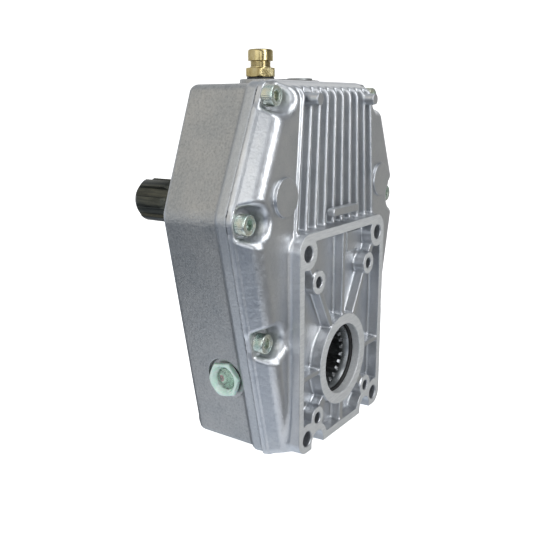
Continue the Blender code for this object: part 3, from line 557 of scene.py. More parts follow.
# ------------------------------------------------------------------- materials
class Look:
    """A node material, built up by small calls."""

    def __init__(self, name, metallic=0.0, roughness=0.5, colour=(0.5, 0.5, 0.5)):
        self.mat = bpy.data.materials.new(name)
        self.mat.use_nodes = True
        self.tree = self.mat.node_tree
        self.shader = self.tree.nodes["Principled BSDF"]
        self.set("Metallic", metallic)
        self.set("Roughness", roughness)
        self.set("Base Color", (*colour, 1.0))
        self.mat.diffuse_color = (*colour, 1.0)
        self.coords = self.tree.nodes.new("ShaderNodeTexCoord").outputs["Object"]

    def set(self, name, value):
        self.shader.inputs[name].default_value = value

    def link(self, source, name):
        self.tree.links.new(source, self.shader.inputs[name])

    def feed(self, socket, value):
        if isinstance(value, bpy.types.NodeSocket):
            self.tree.links.new(value, socket)
        else:
            socket.default_value = value

    def stretch(self, scale, turn=(0, 0, 0), shift=(0, 0, 0)):
        node = self.tree.nodes.new("ShaderNodeMapping")
        self.tree.links.new(self.coords, node.inputs["Vector"])
        node.inputs["Scale"].default_value = scale
        node.inputs["Rotation"].default_value = turn
        node.inputs["Location"].default_value = shift
        return node.outputs["Vector"]

    def noise(self, scale, detail=3.0, rough=0.55, vector=None, distortion=0.0):
        node = self.tree.nodes.new("ShaderNodeTexNoise")
        self.tree.links.new(vector or self.coords, node.inputs["Vector"])
        node.inputs["Scale"].default_value = scale
        node.inputs["Detail"].default_value = detail
        node.inputs["Roughness"].default_value = rough
        node.inputs["Distortion"].default_value = distortion
        return node.outputs["Fac"]

    def cells(self, scale, vector=None, feature="F1", out="Distance"):
        node = self.tree.nodes.new("ShaderNodeTexVoronoi")
        node.feature = feature
        self.tree.links.new(vector or self.coords, node.inputs["Vector"])
        node.inputs["Scale"].default_value = scale
        return node.outputs[out]

    def wave(self, scale, axis="Z", rings=False, vector=None, distortion=0.0):
        node = self.tree.nodes.new("ShaderNodeTexWave")
        node.wave_type = "RINGS" if rings else "BANDS"
        if rings:
            node.rings_direction = axis
        else:
            node.bands_direction = axis
        self.tree.links.new(vector or self.coords, node.inputs["Vector"])
        node.inputs["Scale"].default_value = scale
        node.inputs["Distortion"].default_value = distortion
        node.inputs["Detail"].default_value = 2.0
        return node.outputs["Fac"]

    def maths(self, operation, a, b=0.0, clamp=False):
        node = self.tree.nodes.new("ShaderNodeMath")
        node.operation = operation
        node.use_clamp = clamp
        self.feed(node.inputs[0], a)
        self.feed(node.inputs[1], b)
        return node.outputs[0]

    def spread(self, value, low, high, to_low=0.0, to_high=1.0):
        node = self.tree.nodes.new("ShaderNodeMapRange")
        self.feed(node.inputs["Value"], value)
        node.inputs["From Min"].default_value = low
        node.inputs["From Max"].default_value = high
        node.inputs["To Min"].default_value = to_low
        node.inputs["To Max"].default_value = to_high
        return node.outputs["Result"]

    def ramp(self, value, stops):
        node = self.tree.nodes.new("ShaderNodeValToRGB")
        self.feed(node.inputs["Fac"], value)
        bar = node.color_ramp.elements
        while len(bar) < len(stops):
            bar.new(0.5)
        for element, (at, colour) in zip(bar, stops):
            element.position = at
            element.color = (*colour, 1.0)
        return node.outputs["Color"]

    def mix(self, share, a, b, kind="MIX"):
        node = self.tree.nodes.new("ShaderNodeMix")
        node.data_type = "RGBA"
        node.blend_type = kind
        self.feed(node.inputs["Factor"], share)
        for socket, value in ((node.inputs["A"], a), (node.inputs["B"], b)):
            pass
        sockets = [s for s in node.inputs if s.type == "RGBA"]
        for socket, value in zip(sockets, (a, b)):
            if isinstance(value, bpy.types.NodeSocket):
                self.tree.links.new(value, socket)
            else:
                socket.default_value = (*value, 1.0)
        return [s for s in node.outputs if s.type == "RGBA"][0]

    def blend(self, share, a, b):
        """A number between a and b."""
        node = self.tree.nodes.new("ShaderNodeMix")
        node.data_type = "FLOAT"
        self.feed(node.inputs["Factor"], share)
        sockets = [s for s in node.inputs if s.type == "VALUE" and s.name in ("A", "B")]
        for socket, value in zip(sockets, (a, b)):
            self.feed(socket, value)
        return [s for s in node.outputs if s.type == "VALUE"][0]

    def shade(self, distance, samples=6, inside=False):
        """How open the surface is around a point: 1 in the open, less in corners. The finishes mix it into their
        colours as painted shade.
        """
        node = self.tree.nodes.new("ShaderNodeAmbientOcclusion")
        node.samples = samples
        node.inside = inside
        node.only_local = True
        node.inputs["Distance"].default_value = distance
        return node.outputs["AO"]

    def mark(self, name):
        node = self.tree.nodes.new("ShaderNodeAttribute")
        node.attribute_name = name
        return node.outputs["Fac"]

    def bump(self, height, strength, distance, normal=None):
        node = self.tree.nodes.new("ShaderNodeBump")
        self.tree.links.new(height, node.inputs["Height"])
        self.feed(node.inputs["Strength"], strength)
        node.inputs["Distance"].default_value = distance
        if normal is not None:
            self.tree.links.new(normal, node.inputs["Normal"])
        return node.outputs["Normal"]


def look_cast_front():
    look = Look("cast_front_finish", metallic=1.0, roughness=0.33, colour=(0.56, 0.59, 0.63))
    grain = look.noise(760.0, 3.0, 0.65)
    pebble = look.noise(330.0, 3.0, 0.55)
    cloud = look.noise(38.0, 4.0, 0.6)
    patch = look.noise(120.0, 3.0, 0.6, look.stretch((1.0, 1.0, 0.35)))
    colour = look.ramp(cloud, ((0.3, (0.56, 0.575, 0.60)), (0.52, (0.63, 0.64, 0.655)), (0.75, (0.70, 0.70, 0.70))))
    colour = look.mix(look.spread(patch, 0.35, 0.75, 0.0, 0.35), colour, (0.52, 0.545, 0.58))
    colour = look.mix(look.spread(grain, 0.58, 0.78, 0.0, 0.4), colour, (0.36, 0.38, 0.40))
    colour = look.mix(look.spread(grain, 0.42, 0.25, 0.0, 0.35), colour, (0.80, 0.81, 0.82))
    # Painted shade: the colour is pulled towards a dark blue-grey where the surface is enclosed, in corners, creases
    # and recesses.
    corner = look.spread(look.shade(0.006, 6), 0.25, 0.85, 1.0, 0.0)
    colour = look.mix(look.maths("MULTIPLY", corner, 0.45, True), colour, (0.15, 0.18, 0.22))
    cut = look.mark("machined")
    turned = look.noise(900.0, 3.0, 0.7, look.stretch((0.12, 1.0, 1.0), (0.0, 0.5, 0.0)))
    milled = look.ramp(turned, ((0.3, (0.60, 0.61, 0.615)), (0.7, (0.76, 0.765, 0.76))))
    look.link(look.mix(cut, colour, milled), "Base Color")
    look.link(look.blend(cut, 0.96, 0.30), "Metallic")
    rough = look.spread(look.maths("ADD", look.maths("MULTIPLY", pebble, 0.6), look.maths("MULTIPLY", cloud, 0.5)), 0.3, 0.8, 0.27, 0.42)
    look.link(look.blend(cut, rough, look.spread(turned, 0.3, 0.7, 0.34, 0.5)), "Roughness")
    skin = look.maths("ADD", look.maths("MULTIPLY", grain, 0.5), look.maths("MULTIPLY", pebble, 0.8))
    height = look.blend(cut, skin, look.maths("MULTIPLY", turned, 0.25))
    look.link(look.bump(height, 0.5, 0.0005), "Normal")
    return look.mat


def look_cast_rear():
    look = Look("cast_rear_finish", metallic=0.94, roughness=0.55, colour=(0.5, 0.5, 0.49))
    sand = look.noise(640.0, 3.0, 0.7)
    grit = look.cells(900.0)
    lumps = look.noise(300.0, 3.0, 0.55)
    cloud = look.noise(30.0, 4.0, 0.6)
    colour = look.ramp(cloud, ((0.3, (0.40, 0.41, 0.415)), (0.55, (0.46, 0.46, 0.455)), (0.78, (0.52, 0.515, 0.50))))
    colour = look.mix(look.spread(sand, 0.50, 0.72, 0.0, 0.5), colour, (0.60, 0.60, 0.58))
    colour = look.mix(look.spread(sand, 0.48, 0.3, 0.0, 0.55), colour, (0.24, 0.25, 0.25))
    parts = look.tree.nodes.new("ShaderNodeSeparateXYZ")
    look.tree.links.new(look.coords, parts.inputs[0])
    rim = look.spread(parts.outputs["Y"], -0.0572, -0.0602)
    rim = look.maths("MULTIPLY", rim, 0.4, True)
    colour = look.mix(rim, colour, (0.60, 0.635, 0.68))
    # Painted shade: the colour is pulled towards near black where the surface is enclosed, in corners and recesses.
    corner = look.spread(look.shade(0.006, 6), 0.25, 0.85, 1.0, 0.0)
    colour = look.mix(look.maths("MULTIPLY", corner, 0.6, True), colour, (0.10, 0.11, 0.11))
    cut = look.mark("machined")
    tool = look.noise(800.0, 2.0, 0.7)
    look.link(look.mix(cut, colour, look.ramp(tool, ((0.3, (0.5, 0.505, 0.51)), (0.7, (0.6, 0.6, 0.6))))), "Base Color")
    rough = look.blend(rim, look.spread(lumps, 0.3, 0.75, 0.36, 0.48), 0.36)
    look.link(look.blend(cut, rough, look.spread(tool, 0.3, 0.7, 0.28, 0.4)), "Roughness")
    skin = look.maths("ADD", look.maths("MULTIPLY", sand, 0.8), look.maths("MULTIPLY", lumps, 0.7))
    skin = look.maths("SUBTRACT", skin, look.maths("MULTIPLY", grit, 0.2))
    height = look.blend(cut, skin, look.maths("MULTIPLY", tool, 0.1))
    look.link(look.bump(height, 0.5, 0.0006), "Normal")
    return look.mat


def look_zinc():
    look = Look("zinc_finish", metallic=1.0, roughness=0.3, colour=(0.62, 0.63, 0.55))
    film = look.noise(170.0, 2.0, 0.5)
    fine = look.noise(2200.0, 2.0, 0.6)
    colour = look.ramp(film, ((0.32, (0.46, 0.60, 0.54)), (0.5, (0.68, 0.73, 0.67)), (0.68, (0.74, 0.74, 0.60))))
    # Painted shade: the colour is pulled towards near black in the socket and other tight corners.
    corner = look.spread(look.shade(0.002, 6), 0.2, 0.8, 0.85, 0.0)
    look.link(look.mix(corner, colour, (0.05, 0.06, 0.05)), "Base Color")
    look.link(look.spread(fine, 0.3, 0.7, 0.22, 0.36), "Roughness")
    look.link(look.bump(fine, 0.2, 0.0001), "Normal")
    return look.mat


def look_brass():
    look = Look("brass_finish", metallic=1.0, roughness=0.2, colour=(0.62, 0.52, 0.24))
    stain = look.noise(210.0, 3.0, 0.6, look.stretch((1.0, 1.0, 0.6)))
    tool = look.noise(1500.0, 2.0, 0.6, look.stretch((0.08, 0.08, 1.6)))
    colour = look.ramp(stain, ((0.3, (0.34, 0.26, 0.11)), (0.5, (0.56, 0.46, 0.23)), (0.72, (0.68, 0.60, 0.37))))
    # Painted shade: the colour is pulled towards dark brown in grooves, under the cap and in other tight corners.
    corner = look.spread(look.shade(0.003, 6), 0.2, 0.8, 0.8, 0.0)
    look.link(look.mix(corner, colour, (0.09, 0.06, 0.02)), "Base Color")
    look.link(look.spread(stain, 0.3, 0.7, 0.16, 0.30), "Roughness")
    look.link(look.bump(tool, 0.25, 0.0001), "Normal")
    return look.mat


def look_dark_steel():
    look = Look("oiled_steel_finish", metallic=0.9, roughness=0.36, colour=(0.07, 0.072, 0.062))
    streak = look.noise(260.0, 4.0, 0.6, look.stretch((1.0, 0.12, 1.0)))
    spots = look.noise(700.0, 3.0, 0.6)
    colour = look.ramp(streak, ((0.3, (0.030, 0.032, 0.028)), (0.5, (0.072, 0.074, 0.062)), (0.75, (0.15, 0.145, 0.11))))
    look.link(look.mix(look.spread(spots, 0.6, 0.8, 0.0, 0.5), colour, (0.20, 0.19, 0.15)), "Base Color")
    look.link(look.spread(streak, 0.3, 0.75, 0.28, 0.46), "Roughness")
    look.link(look.bump(look.maths("ADD", streak, look.maths("MULTIPLY", spots, 0.4)), 0.25, 0.00015), "Normal")
    return look.mat


def look_steel(name, low, high, rough):
    look = Look(name, metallic=1.0, roughness=rough, colour=high)
    fine = look.noise(1200.0, 3.0, 0.6, look.stretch((1.0, 0.2, 1.0)))
    film = look.noise(90.0, 3.0, 0.6)
    look.link(look.ramp(look.blend(0.5, fine, film), ((0.3, low), (0.7, high))), "Base Color")
    look.link(look.spread(film, 0.3, 0.7, rough * 0.8, rough * 1.3), "Roughness")
    look.link(look.bump(fine, 0.15, 0.0001), "Normal")
    return look.mat


def look_rubber():
    look = Look("rubber_finish", roughness=0.62, colour=(0.022, 0.022, 0.022))
    fine = look.noise(1800.0, 3.0, 0.6)
    dust = look.noise(150.0, 3.0, 0.6)
    look.link(look.ramp(dust, ((0.35, (0.014, 0.014, 0.015)), (0.75, (0.045, 0.044, 0.042)))), "Base Color")
    look.link(look.spread(dust, 0.3, 0.7, 0.5, 0.72), "Roughness")
    look.link(look.bump(fine, 0.2, 0.0001), "Normal")
    return look.mat


def look_paper():
    look = Look("gasket_finish", roughness=0.85, colour=(0.045, 0.05, 0.06))
    fibre = look.noise(900.0, 4.0, 0.7, look.stretch((1.0, 6.0, 1.0)))
    look.link(look.ramp(fibre, ((0.3, (0.018, 0.02, 0.026)), (0.7, (0.07, 0.075, 0.085)))), "Base Color")
    look.link(look.bump(fibre, 0.3, 0.0001), "Normal")
    return look.mat


def look_mint():
    look = Look("mint_plastic_finish", roughness=0.24, colour=(0.60, 0.80, 0.70))
    milk = look.noise(160.0, 2.0, 0.5)
    look.link(look.ramp(milk, ((0.3, (0.58, 0.80, 0.69)), (0.7, (0.78, 0.92, 0.83)))), "Base Color")
    look.set("Subsurface Weight", 0.35)
    look.set("Subsurface Radius", (0.002, 0.004, 0.003))
    look.set("Subsurface Scale", 1.0)
    look.set("Coat Weight", 0.25)
    look.set("Coat Roughness", 0.12)
    look.link(look.spread(milk, 0.3, 0.7, 0.2, 0.3), "Roughness")
    look.link(look.bump(look.noise(1300.0, 2.0, 0.5), 0.08, 0.0001), "Normal")
    return look.mat


def look_clear():
    look = Look("clear_plastic_finish", roughness=0.06, colour=(0.80, 0.94, 0.87))
    look.set("Transmission Weight", 0.92)
    look.set("IOR", 1.45)
    look.link(look.ramp(look.noise(120.0, 2.0, 0.5), ((0.3, (0.70, 0.88, 0.80)), (0.7, (0.88, 0.97, 0.92)))), "Base Color")
    return look.mat


def look_disc():
    """Pale reflector with rings and a red middle."""
    look = Look("level_disc_finish", metallic=0.2, roughness=0.3, colour=(0.6, 0.62, 0.58))
    centre = (-0.0706, (54.6 - 93.0) * MM, 52.0 * MM)
    node = look.tree.nodes.new("ShaderNodeVectorMath")
    node.operation = "SUBTRACT"
    look.tree.links.new(look.coords, node.inputs[0])
    node.inputs[1].default_value = centre
    flat = look.tree.nodes.new("ShaderNodeVectorMath")
    flat.operation = "MULTIPLY"
    look.tree.links.new(node.outputs["Vector"], flat.inputs[0])
    flat.inputs[1].default_value = (0.0, 1.0, 1.0)
    reach = look.tree.nodes.new("ShaderNodeVectorMath")
    reach.operation = "LENGTH"
    look.tree.links.new(flat.outputs["Vector"], reach.inputs[0])
    radius = look.spread(reach.outputs["Value"], 0.0, 0.0072)
    colour = look.ramp(radius, (
        (0.0, (0.20, 0.005, 0.03)), (0.17, (0.42, 0.015, 0.07)), (0.23, (0.72, 0.16, 0.26)), (0.29, (0.85, 0.55, 0.58)),
        (0.34, (0.66, 0.70, 0.66)), (0.50, (0.40, 0.44, 0.40)), (0.58, (0.08, 0.11, 0.09)), (0.68, (0.36, 0.42, 0.37)),
        (0.85, (0.22, 0.28, 0.24)), (1.0, (0.34, 0.42, 0.36)),
    ))
    look.link(colour, "Base Color")
    look.link(look.spread(look.noise(500.0), 0.3, 0.7, 0.22, 0.4), "Roughness")
    return look.mat


def look_copper():
    look = Look("copper_finish", metallic=1.0, roughness=0.32, colour=(0.55, 0.33, 0.22))
    film = look.noise(240.0, 3.0, 0.6)
    look.link(look.ramp(film, ((0.3, (0.36, 0.19, 0.12)), (0.7, (0.66, 0.42, 0.28)))), "Base Color")
    look.link(look.spread(film, 0.3, 0.7, 0.25, 0.42), "Roughness")
    look.link(look.bump(film, 0.15, 0.0001), "Normal")
    return look.mat


CAST_FRONT = look_cast_front()
CAST_REAR = look_cast_rear()
ZINC = look_zinc()
BRASS = look_brass()
DARK = look_dark_steel()
GEAR = look_steel("gear_steel_finish", (0.24, 0.25, 0.26), (0.42, 0.43, 0.43), 0.3)
RACE = look_steel("race_steel_finish", (0.52, 0.53, 0.55), (0.66, 0.67, 0.68), 0.16)
PLUG = look_steel("plug_finish", (0.30, 0.31, 0.31), (0.50, 0.51, 0.50), 0.42)
RUBBER = look_rubber()
PAPER = look_paper()
MINT = look_mint()
CLEAR = look_clear()
DISC = look_disc()
COPPER = look_copper()

BY_SLOT = {
    "cast_rear": CAST_REAR, "cast_front": CAST_FRONT, "gasket_paper": PAPER, "zinc_plate": ZINC,
    "bearing_steel": RACE, "rubber": RUBBER, "brass": BRASS, "oiled_steel": DARK,
    "pale_green_plastic": MINT, "clear_plastic": CLEAR, "level_disc": DISC, "copper": COPPER,
    "gear_steel": GEAR,
}
for part in frame["record"]["subparts"]:
    mesh = frame["nodes"][part["node"]].data
    if not mesh.materials:
        mesh.materials.append(None)
    for i in range(len(mesh.materials)):
        mesh.materials[i] = BY_SLOT[part["material_slot"]]


# ---------------------------------------------------------------- cast pieces
def mark_faces(mesh, mask):
    layer = mesh.attributes.new("machined", "FLOAT", "CORNER")
    layer.data.foreach_set("value", mask.astype(np.float32))


def make_cover():
    obj, co, owner, flat = shell("front_cover_cast", cover_field, (-104, -3.2, -58), (104, 31.5, 194), 0.85, 190000)
    at = co[owner]
    radius = np.hypot(at[:, 0], at[:, 2])
    face = (at[:, 1] < 0.25) & (at[:, 1] > -0.3) & (flat[:, 1] < -0.96) & (np.abs(at[:, 2]) < 100)
    bore = (radius < 26.2) & (at[:, 1] > -0.2) & (at[:, 1] < 7.4)
    screws = np.zeros(len(at), bool)
    for sx, sz in (*SIDE_SCREWS, LOW_SCREW):
        screws |= (np.hypot(np.abs(at[:, 0]) - sx, at[:, 2] - sz) < 7.2) & (flat[:, 1] < -0.96)
    back = (at[:, 1] > 25.4) & (flat[:, 1] > 0.96)
    mark_faces(obj.data, face | bore | screws | back)
    return place(obj, CAST_FRONT, "front_cover", "housing", "cast_front")


def make_rear():
    obj, co, owner, flat = shell("rear_housing_cast", rear_field, (-104, 25.6, -57.5), (104, 95.5, 196), 1.15, 180000)
    at = co[owner]
    top = (at[:, 2] > 193.6) & (flat[:, 2] > 0.96)
    seat = (np.hypot(at[:, 1] - 48.9, at[:, 2] + 1.5) < 14.7) & (np.abs(at[:, 0]) > 72.0) & (np.abs(at[:, 0]) < 72.8) & (np.abs(flat[:, 0]) > 0.96)
    hub = (at[:, 1] > 93.6) & (flat[:, 1] > 0.96)
    foot = (at[:, 2] < -55.2) & (flat[:, 2] < -0.96)
    joint = (at[:, 1] < 26.8) & (flat[:, 1] < -0.96)
    inside = np.hypot(at[:, 0], at[:, 2] - 102.0) < 27.9
    mark_faces(obj.data, top | seat | hub | foot | joint | inside)
    return place(obj, CAST_REAR, "rear_housing", "housing", "cast_rear")


make_cover()
make_rear()


# --------------------------------------------------------------------- screws
def make_screws():
    count = 144
    angle = np.arange(count) * 2 * math.pi / count

    def knurl(radius, depth):
        return lambda a: radius - depth * (np.abs(np.arange(count) % 4 - 2) / 2.0)

    def socket(flats):
        return lambda a: hexagon(a, flats)

    rows = [(0.0, 18.3), (socket(5.6), 18.1), (socket(6.0), 17.9), (socket(6.0), 14.75), (socket(6.3), 14.5), (3.9, 14.3)]
    rows += [(4.2, 14.3), (5.5, 14.3), (5.85, 14.36), (6.1, 14.55), (6.3, 14.9)]
    rows += [(6.42, 15.3), (knurl(6.5, 0.22), 15.6), (knurl(6.5, 0.22), 20.9), (6.4, 21.2), (6.35, 21.5), (6.15, 21.7), (3.8, 21.7), (3.7, 21.9)]
    height = 22.0
    while height < 32.2:
        rows += [(3.7, height), (3.38, height + 0.55)]
        height += 1.1
    rows += [(3.3, 32.4), (2.9, 32.6), (0.0, 32.6)]
    places = [(side * x, z) for x, z in (*SIDE_SCREWS, LOW_SCREW) for side in (-1, 1)]
    for number, (x, z) in enumerate(places, 1):
        obj = spin(f"cover_screw_{number}_fine", rows, (x, 0, z), "Y", count)
        turn = Matrix.Translation(world((x, 0, z))) @ Matrix.Rotation(0.4 + 1.3 * number, 4, "Y") @ Matrix.Translation(-Vector(world((x, 0, z))))
        obj.data.transform(turn)
        place(obj, ZINC, f"cover_screw_{number}", "housing", "zinc_plate")


make_screws()


# ----------------------------------------------------------------- top fittings
def make_breather():
    centre = (-24.5, 54.0, 0.0)
    turn = math.atan2(-0.555, -0.832)
    ring = soften([(6.9, 194.2), (9.2, 194.2), (9.2, 195.2), (6.9, 195.2)], 0.3, 3, True)
    place(spin("breather_washer_fine", ring, centre, "Z", 72, True), RUBBER, "breather_washer", "housing", "rubber")

    def nut(limit, flats=19.0):
        return lambda a: np.minimum(hexagon(a, flats, turn), limit)

    rows = [(0.0, 184.0), (5.4, 184.0), (6.2, 184.8)]
    height = 185.0
    while height < 193.6:
        rows += [(6.2, height), (5.7, height + 0.6)]
        height += 1.2
    rows += [(6.2, 194.2), (6.3, 195.4), (9.2, 195.4)]
    for share in (0.0, 0.3, 0.6, 0.85, 1.0):
        rows.append((nut(9.3 + 1.7 * share), 195.4 + 1.1 * share ** 1.6))
    for share in (1.0, 0.85, 0.6, 0.3, 0.0):
        rows.append((nut(9.3 + 1.7 * share), 201.3 - 1.1 * share ** 1.6))
    rows += [(9.1, 201.3), (7.2, 201.35), (6.9, 201.5), (6.85, 201.8)]
    for level in (202.3, 203.2, 204.1):
        rows += [(6.85, level), (6.55, level + 0.2), (6.55, level + 0.45), (6.85, level + 0.65)]
    rows += [(6.8, 205.1), (6.6, 205.3), (5.0, 205.3), (5.0, 210.4), (4.6, 210.8), (2.7, 210.8), (2.4, 210.5), (2.4, 186.0), (0.0, 184.6)]
    place(spin("breather_body_fine", rows, centre, "Z", 144), BRASS, "breather_body", "housing", "brass")
    cap = [(5.4, 205.6), (8.15, 205.6), (8.4, 205.8), (8.4, 206.2)]
    cap += [(8.4, 211.2), (8.35, 211.9), (8.1, 212.5), (7.6, 212.95), (6.9, 213.15), (5.2, 213.25), (0.0, 213.3)]
    cap += [(0.0, 211.2), (5.4, 211.2)]
    place(spin("breather_cap_fine", cap, centre, "Z", 120, True, 40.0), BRASS, "breather_cap", "housing", "brass")


def make_filler():
    centre = (24.5, 54.0, 0.0)
    rows = [(0.0, 184.5), (5.6, 184.5), (6.3, 185.2)]
    height = 185.4
    while height < 192.8:
        rows += [(6.3, height), (5.9, height + 0.5)]
        height += 1.0
    rows += [(6.3, 193.6), (6.3, 194.3), (9.1, 194.3), (9.4, 194.45), (9.4, 195.1), (9.25, 195.45), (8.8, 195.7), (8.0, 195.78), (4.2, 195.8)]
    rows += [(lambda a: hexagon(a, 6.4), 195.75), (lambda a: hexagon(a, 6.0), 195.4), (lambda a: hexagon(a, 6.0), 190.6), (0.0, 190.0)]
    place(spin("filler_plug_fine", rows, centre, "Z", 96), PLUG, "filler_plug", "housing", "oiled_steel")


make_breather()
make_filler()


# ---------------------------------------------------------------- side fittings
def make_sight_glass():
    centre = (0.0, 48.9, -1.5)
    ring = soften([(8.9, -73.7), (10.6, -73.7), (10.6, -72.7), (8.9, -72.7)], 0.35, 3, True)
    place(spin("sight_seal_fine", ring, centre, "X", 72, True), RUBBER, "sight_glass_seal", "housing", "rubber")

    def nut(limit):
        return lambda a: np.minimum(hexagon(a + math.pi / 6, 22.0, 0.35), limit)

    rows = [(5.2, -60.5), (7.9, -60.5)]
    height = -60.9
    while height > -71.0:
        rows += [(8.1, height), (7.7, height - 0.6)]
        height -= 1.2
    rows += [(8.0, -72.6), (8.1, -74.0), (10.3, -74.0)]
    for share in (0.0, 0.35, 0.7, 1.0):
        rows.append((nut(10.8 + 1.95 * share), -74.0 - 0.9 * share ** 1.5))
    for share in (1.0, 0.75, 0.5, 0.25, 0.0):
        rows.append((nut(10.6 + 2.15 * share), -78.4 + 1.3 * share ** 1.5))
    rows += [(10.0, -78.4), (9.7, -78.3), (9.4, -78.0), (9.0, -77.2), (8.2, -75.8), (7.8, -75.3), (7.6, -75.0), (7.6, -68.5), (5.2, -68.5)]
    place(spin("sight_glass_body_fine", rows, centre, "X", 144, True), MINT, "sight_glass_body", "housing", "pale_green_plastic")
    window = [(0.0, -75.75), (2.5, -75.65), (4.8, -75.35), (6.3, -74.95), (7.1, -74.5), (7.2, -74.2), (7.2, -73.4), (7.1, -73.3), (4.0, -73.3), (0.0, -73.3)]
    place(spin("sight_glass_window_fine", window, centre, "X", 96), CLEAR, "sight_glass_window", "housing", "clear_plastic")
    disc = [(0.0, -71.1), (0.9, -71.05), (1.5, -70.85), (1.8, -70.6), (3.6, -70.5), (3.9, -70.75), (4.3, -70.75), (4.6, -70.45), (7.0, -70.6), (7.2, -70.4), (7.2, -69.2), (7.0, -69.0), (0.0, -69.0)]
    place(spin("sight_glass_reflector_fine", disc, centre, "X", 96), DISC, "sight_glass_reflector", "housing", "level_disc")


def make_drain():
    centre = (0.0, 48.9, -1.5)
    ring = soften([(8.9, 72.7), (11.4, 72.7), (11.4, 73.9), (8.9, 73.9)], 0.3, 3, True)
    place(spin("drain_washer_fine", ring, centre, "X", 96, True), COPPER, "drain_plug_washer", "housing", "copper")
    rows = [(0.0, 60.5), (7.5, 60.5), (8.1, 61.1)]
    height = 61.4
    while height < 72.0:
        rows += [(8.1, height), (7.7, height + 0.6)]
        height += 1.2
    rows += [(8.0, 72.9), (8.1, 74.2), (10.8, 74.2), (11.0, 74.4), (11.0, 77.1), (10.8, 77.5), (10.2, 77.95), (9.6, 78.0), (5.6, 78.0)]
    rows += [(lambda a: hexagon(a, 8.5), 77.95), (lambda a: hexagon(a, 8.0), 77.5), (lambda a: hexagon(a, 8.0), 68.3), (0.0, 68.0)]
    place(spin("drain_plug_fine", rows, centre, "X", 96), DARK, "drain_plug", "housing", "oiled_steel")


make_sight_glass()
make_drain()


# ------------------------------------------------------------------ input shaft
def spline_section(tip, root, width, cap):
    """The six-toothed outline at one place: (x, z) points, limited to the cap radius."""
    points = []
    for tooth in range(6):
        middle = math.radians(60 * tooth)
        low = math.asin(min(1.0, width / root))
        high = math.asin(min(1.0, width / max(tip, root + 0.01)))
        polar = [(root, -math.radians(30) + (math.radians(30) - low) * s) for s in (0.0, 0.33, 0.66, 0.92)]
        polar += [(root + 0.12, -low * 1.0), (root + (tip - root) * 0.5, -math.asin(width / (root + (tip - root) * 0.5)))]
        polar += [(tip - 0.25 * (tip > root + 1), -high), (tip, -high * 0.93)]
        polar += [(tip, high * s) for s in (-0.5, 0.0, 0.5)]
        mirror = [(r, -a) for r, a in reversed(polar[:8])]
        for r, a in polar + mirror[:-1]:
            r = min(r, cap)
            points.append((r * math.cos(middle + a), r * math.sin(middle + a)))
    return points


def make_shaft():
    sections = []

    def at(y, tip, root=14.8, cap=100.0):
        sections.append([(x, y, 102.0 + z) for x, z in spline_section(tip, root, 4.35, cap)])

    at(16.9, 15.0, 14.75, 13.9)
    at(17.7, 15.0, 14.75, 14.7)
    at(32.6, 15.0, 14.75, 14.7)
    for y, radius in ((32.6, 20.7), (57.3, 20.7), (57.3, 24.2), (57.5, 24.4), (58.5, 24.4), (58.7, 24.2), (58.7, 19.7),
                      (77.0, 19.7), (77.0, 18.4), (79.0, 18.4), (79.0, 19.0), (95.7, 19.0), (96.2, 18.8), (97.6, 17.6), (98.0, 17.4), (104.0, 17.4)):
        at(y, radius, radius - 0.02)
    for s in (0.25, 0.5, 0.75, 1.0):
        at(104.0 + 4.0 * s, 17.4, 17.38 - 2.58 * math.sin(s * math.pi / 2))
    at(142.2, 17.4)
    at(142.7, 17.25)
    at(145.4, 15.15)
    at(145.9, 15.0)
    at(152.5, 15.0)
    at(153.0, 15.15)
    at(155.7, 17.25)
    at(156.2, 17.4)
    for y, cap in ((181.2, 17.5), (181.8, 17.25), (183.4, 15.9), (184.6, 14.95), (184.9, 14.7), (186.9, 13.0), (187.3, 12.5), (187.5, 12.0)):
        at(y, 17.4, 14.8, cap)
    for radius, y in ((11.8, 187.5), (4.2, 187.5), (3.9, 187.3), (1.2, 183.4), (0.9, 183.0)):
        at(y, 17.4, 14.8, radius)
    obj = rings("input_shaft_fine", sections, 28.0)
    place(obj, DARK, "input_shaft", "input_rotor", "oiled_steel")


make_shaft()


# ---------------------------------------------------------- seals and the pinion
def make_seals():
    front = soften([(25.2, 7.6), (25.9, 7.0), (26.8, 6.6), (28.2, 7.4), (29.2, 7.4), (29.9, 6.6), (30.7, 6.6), (30.7, 11.7), (25.2, 11.7)], 0.3, 3, True)
    place(spin("output_seal_fine", front, (0, 0, 0), "Y", 144, True), RUBBER, "output_seal", "housing", "rubber")
    back = soften([(19.5, 85.0), (21.5, 82.0), (27.2, 82.0), (27.2, 90.0), (26.0, 90.0), (25.4, 89.0), (22.6, 89.0), (21.8, 90.0), (21.0, 89.8), (20.6, 87.0), (19.5, 86.6)], 0.3, 3, True)
    place(spin("input_seal_fine", back, (0, 0, 102.0), "Y", 144, True), RUBBER, "input_seal", "housing", "rubber")


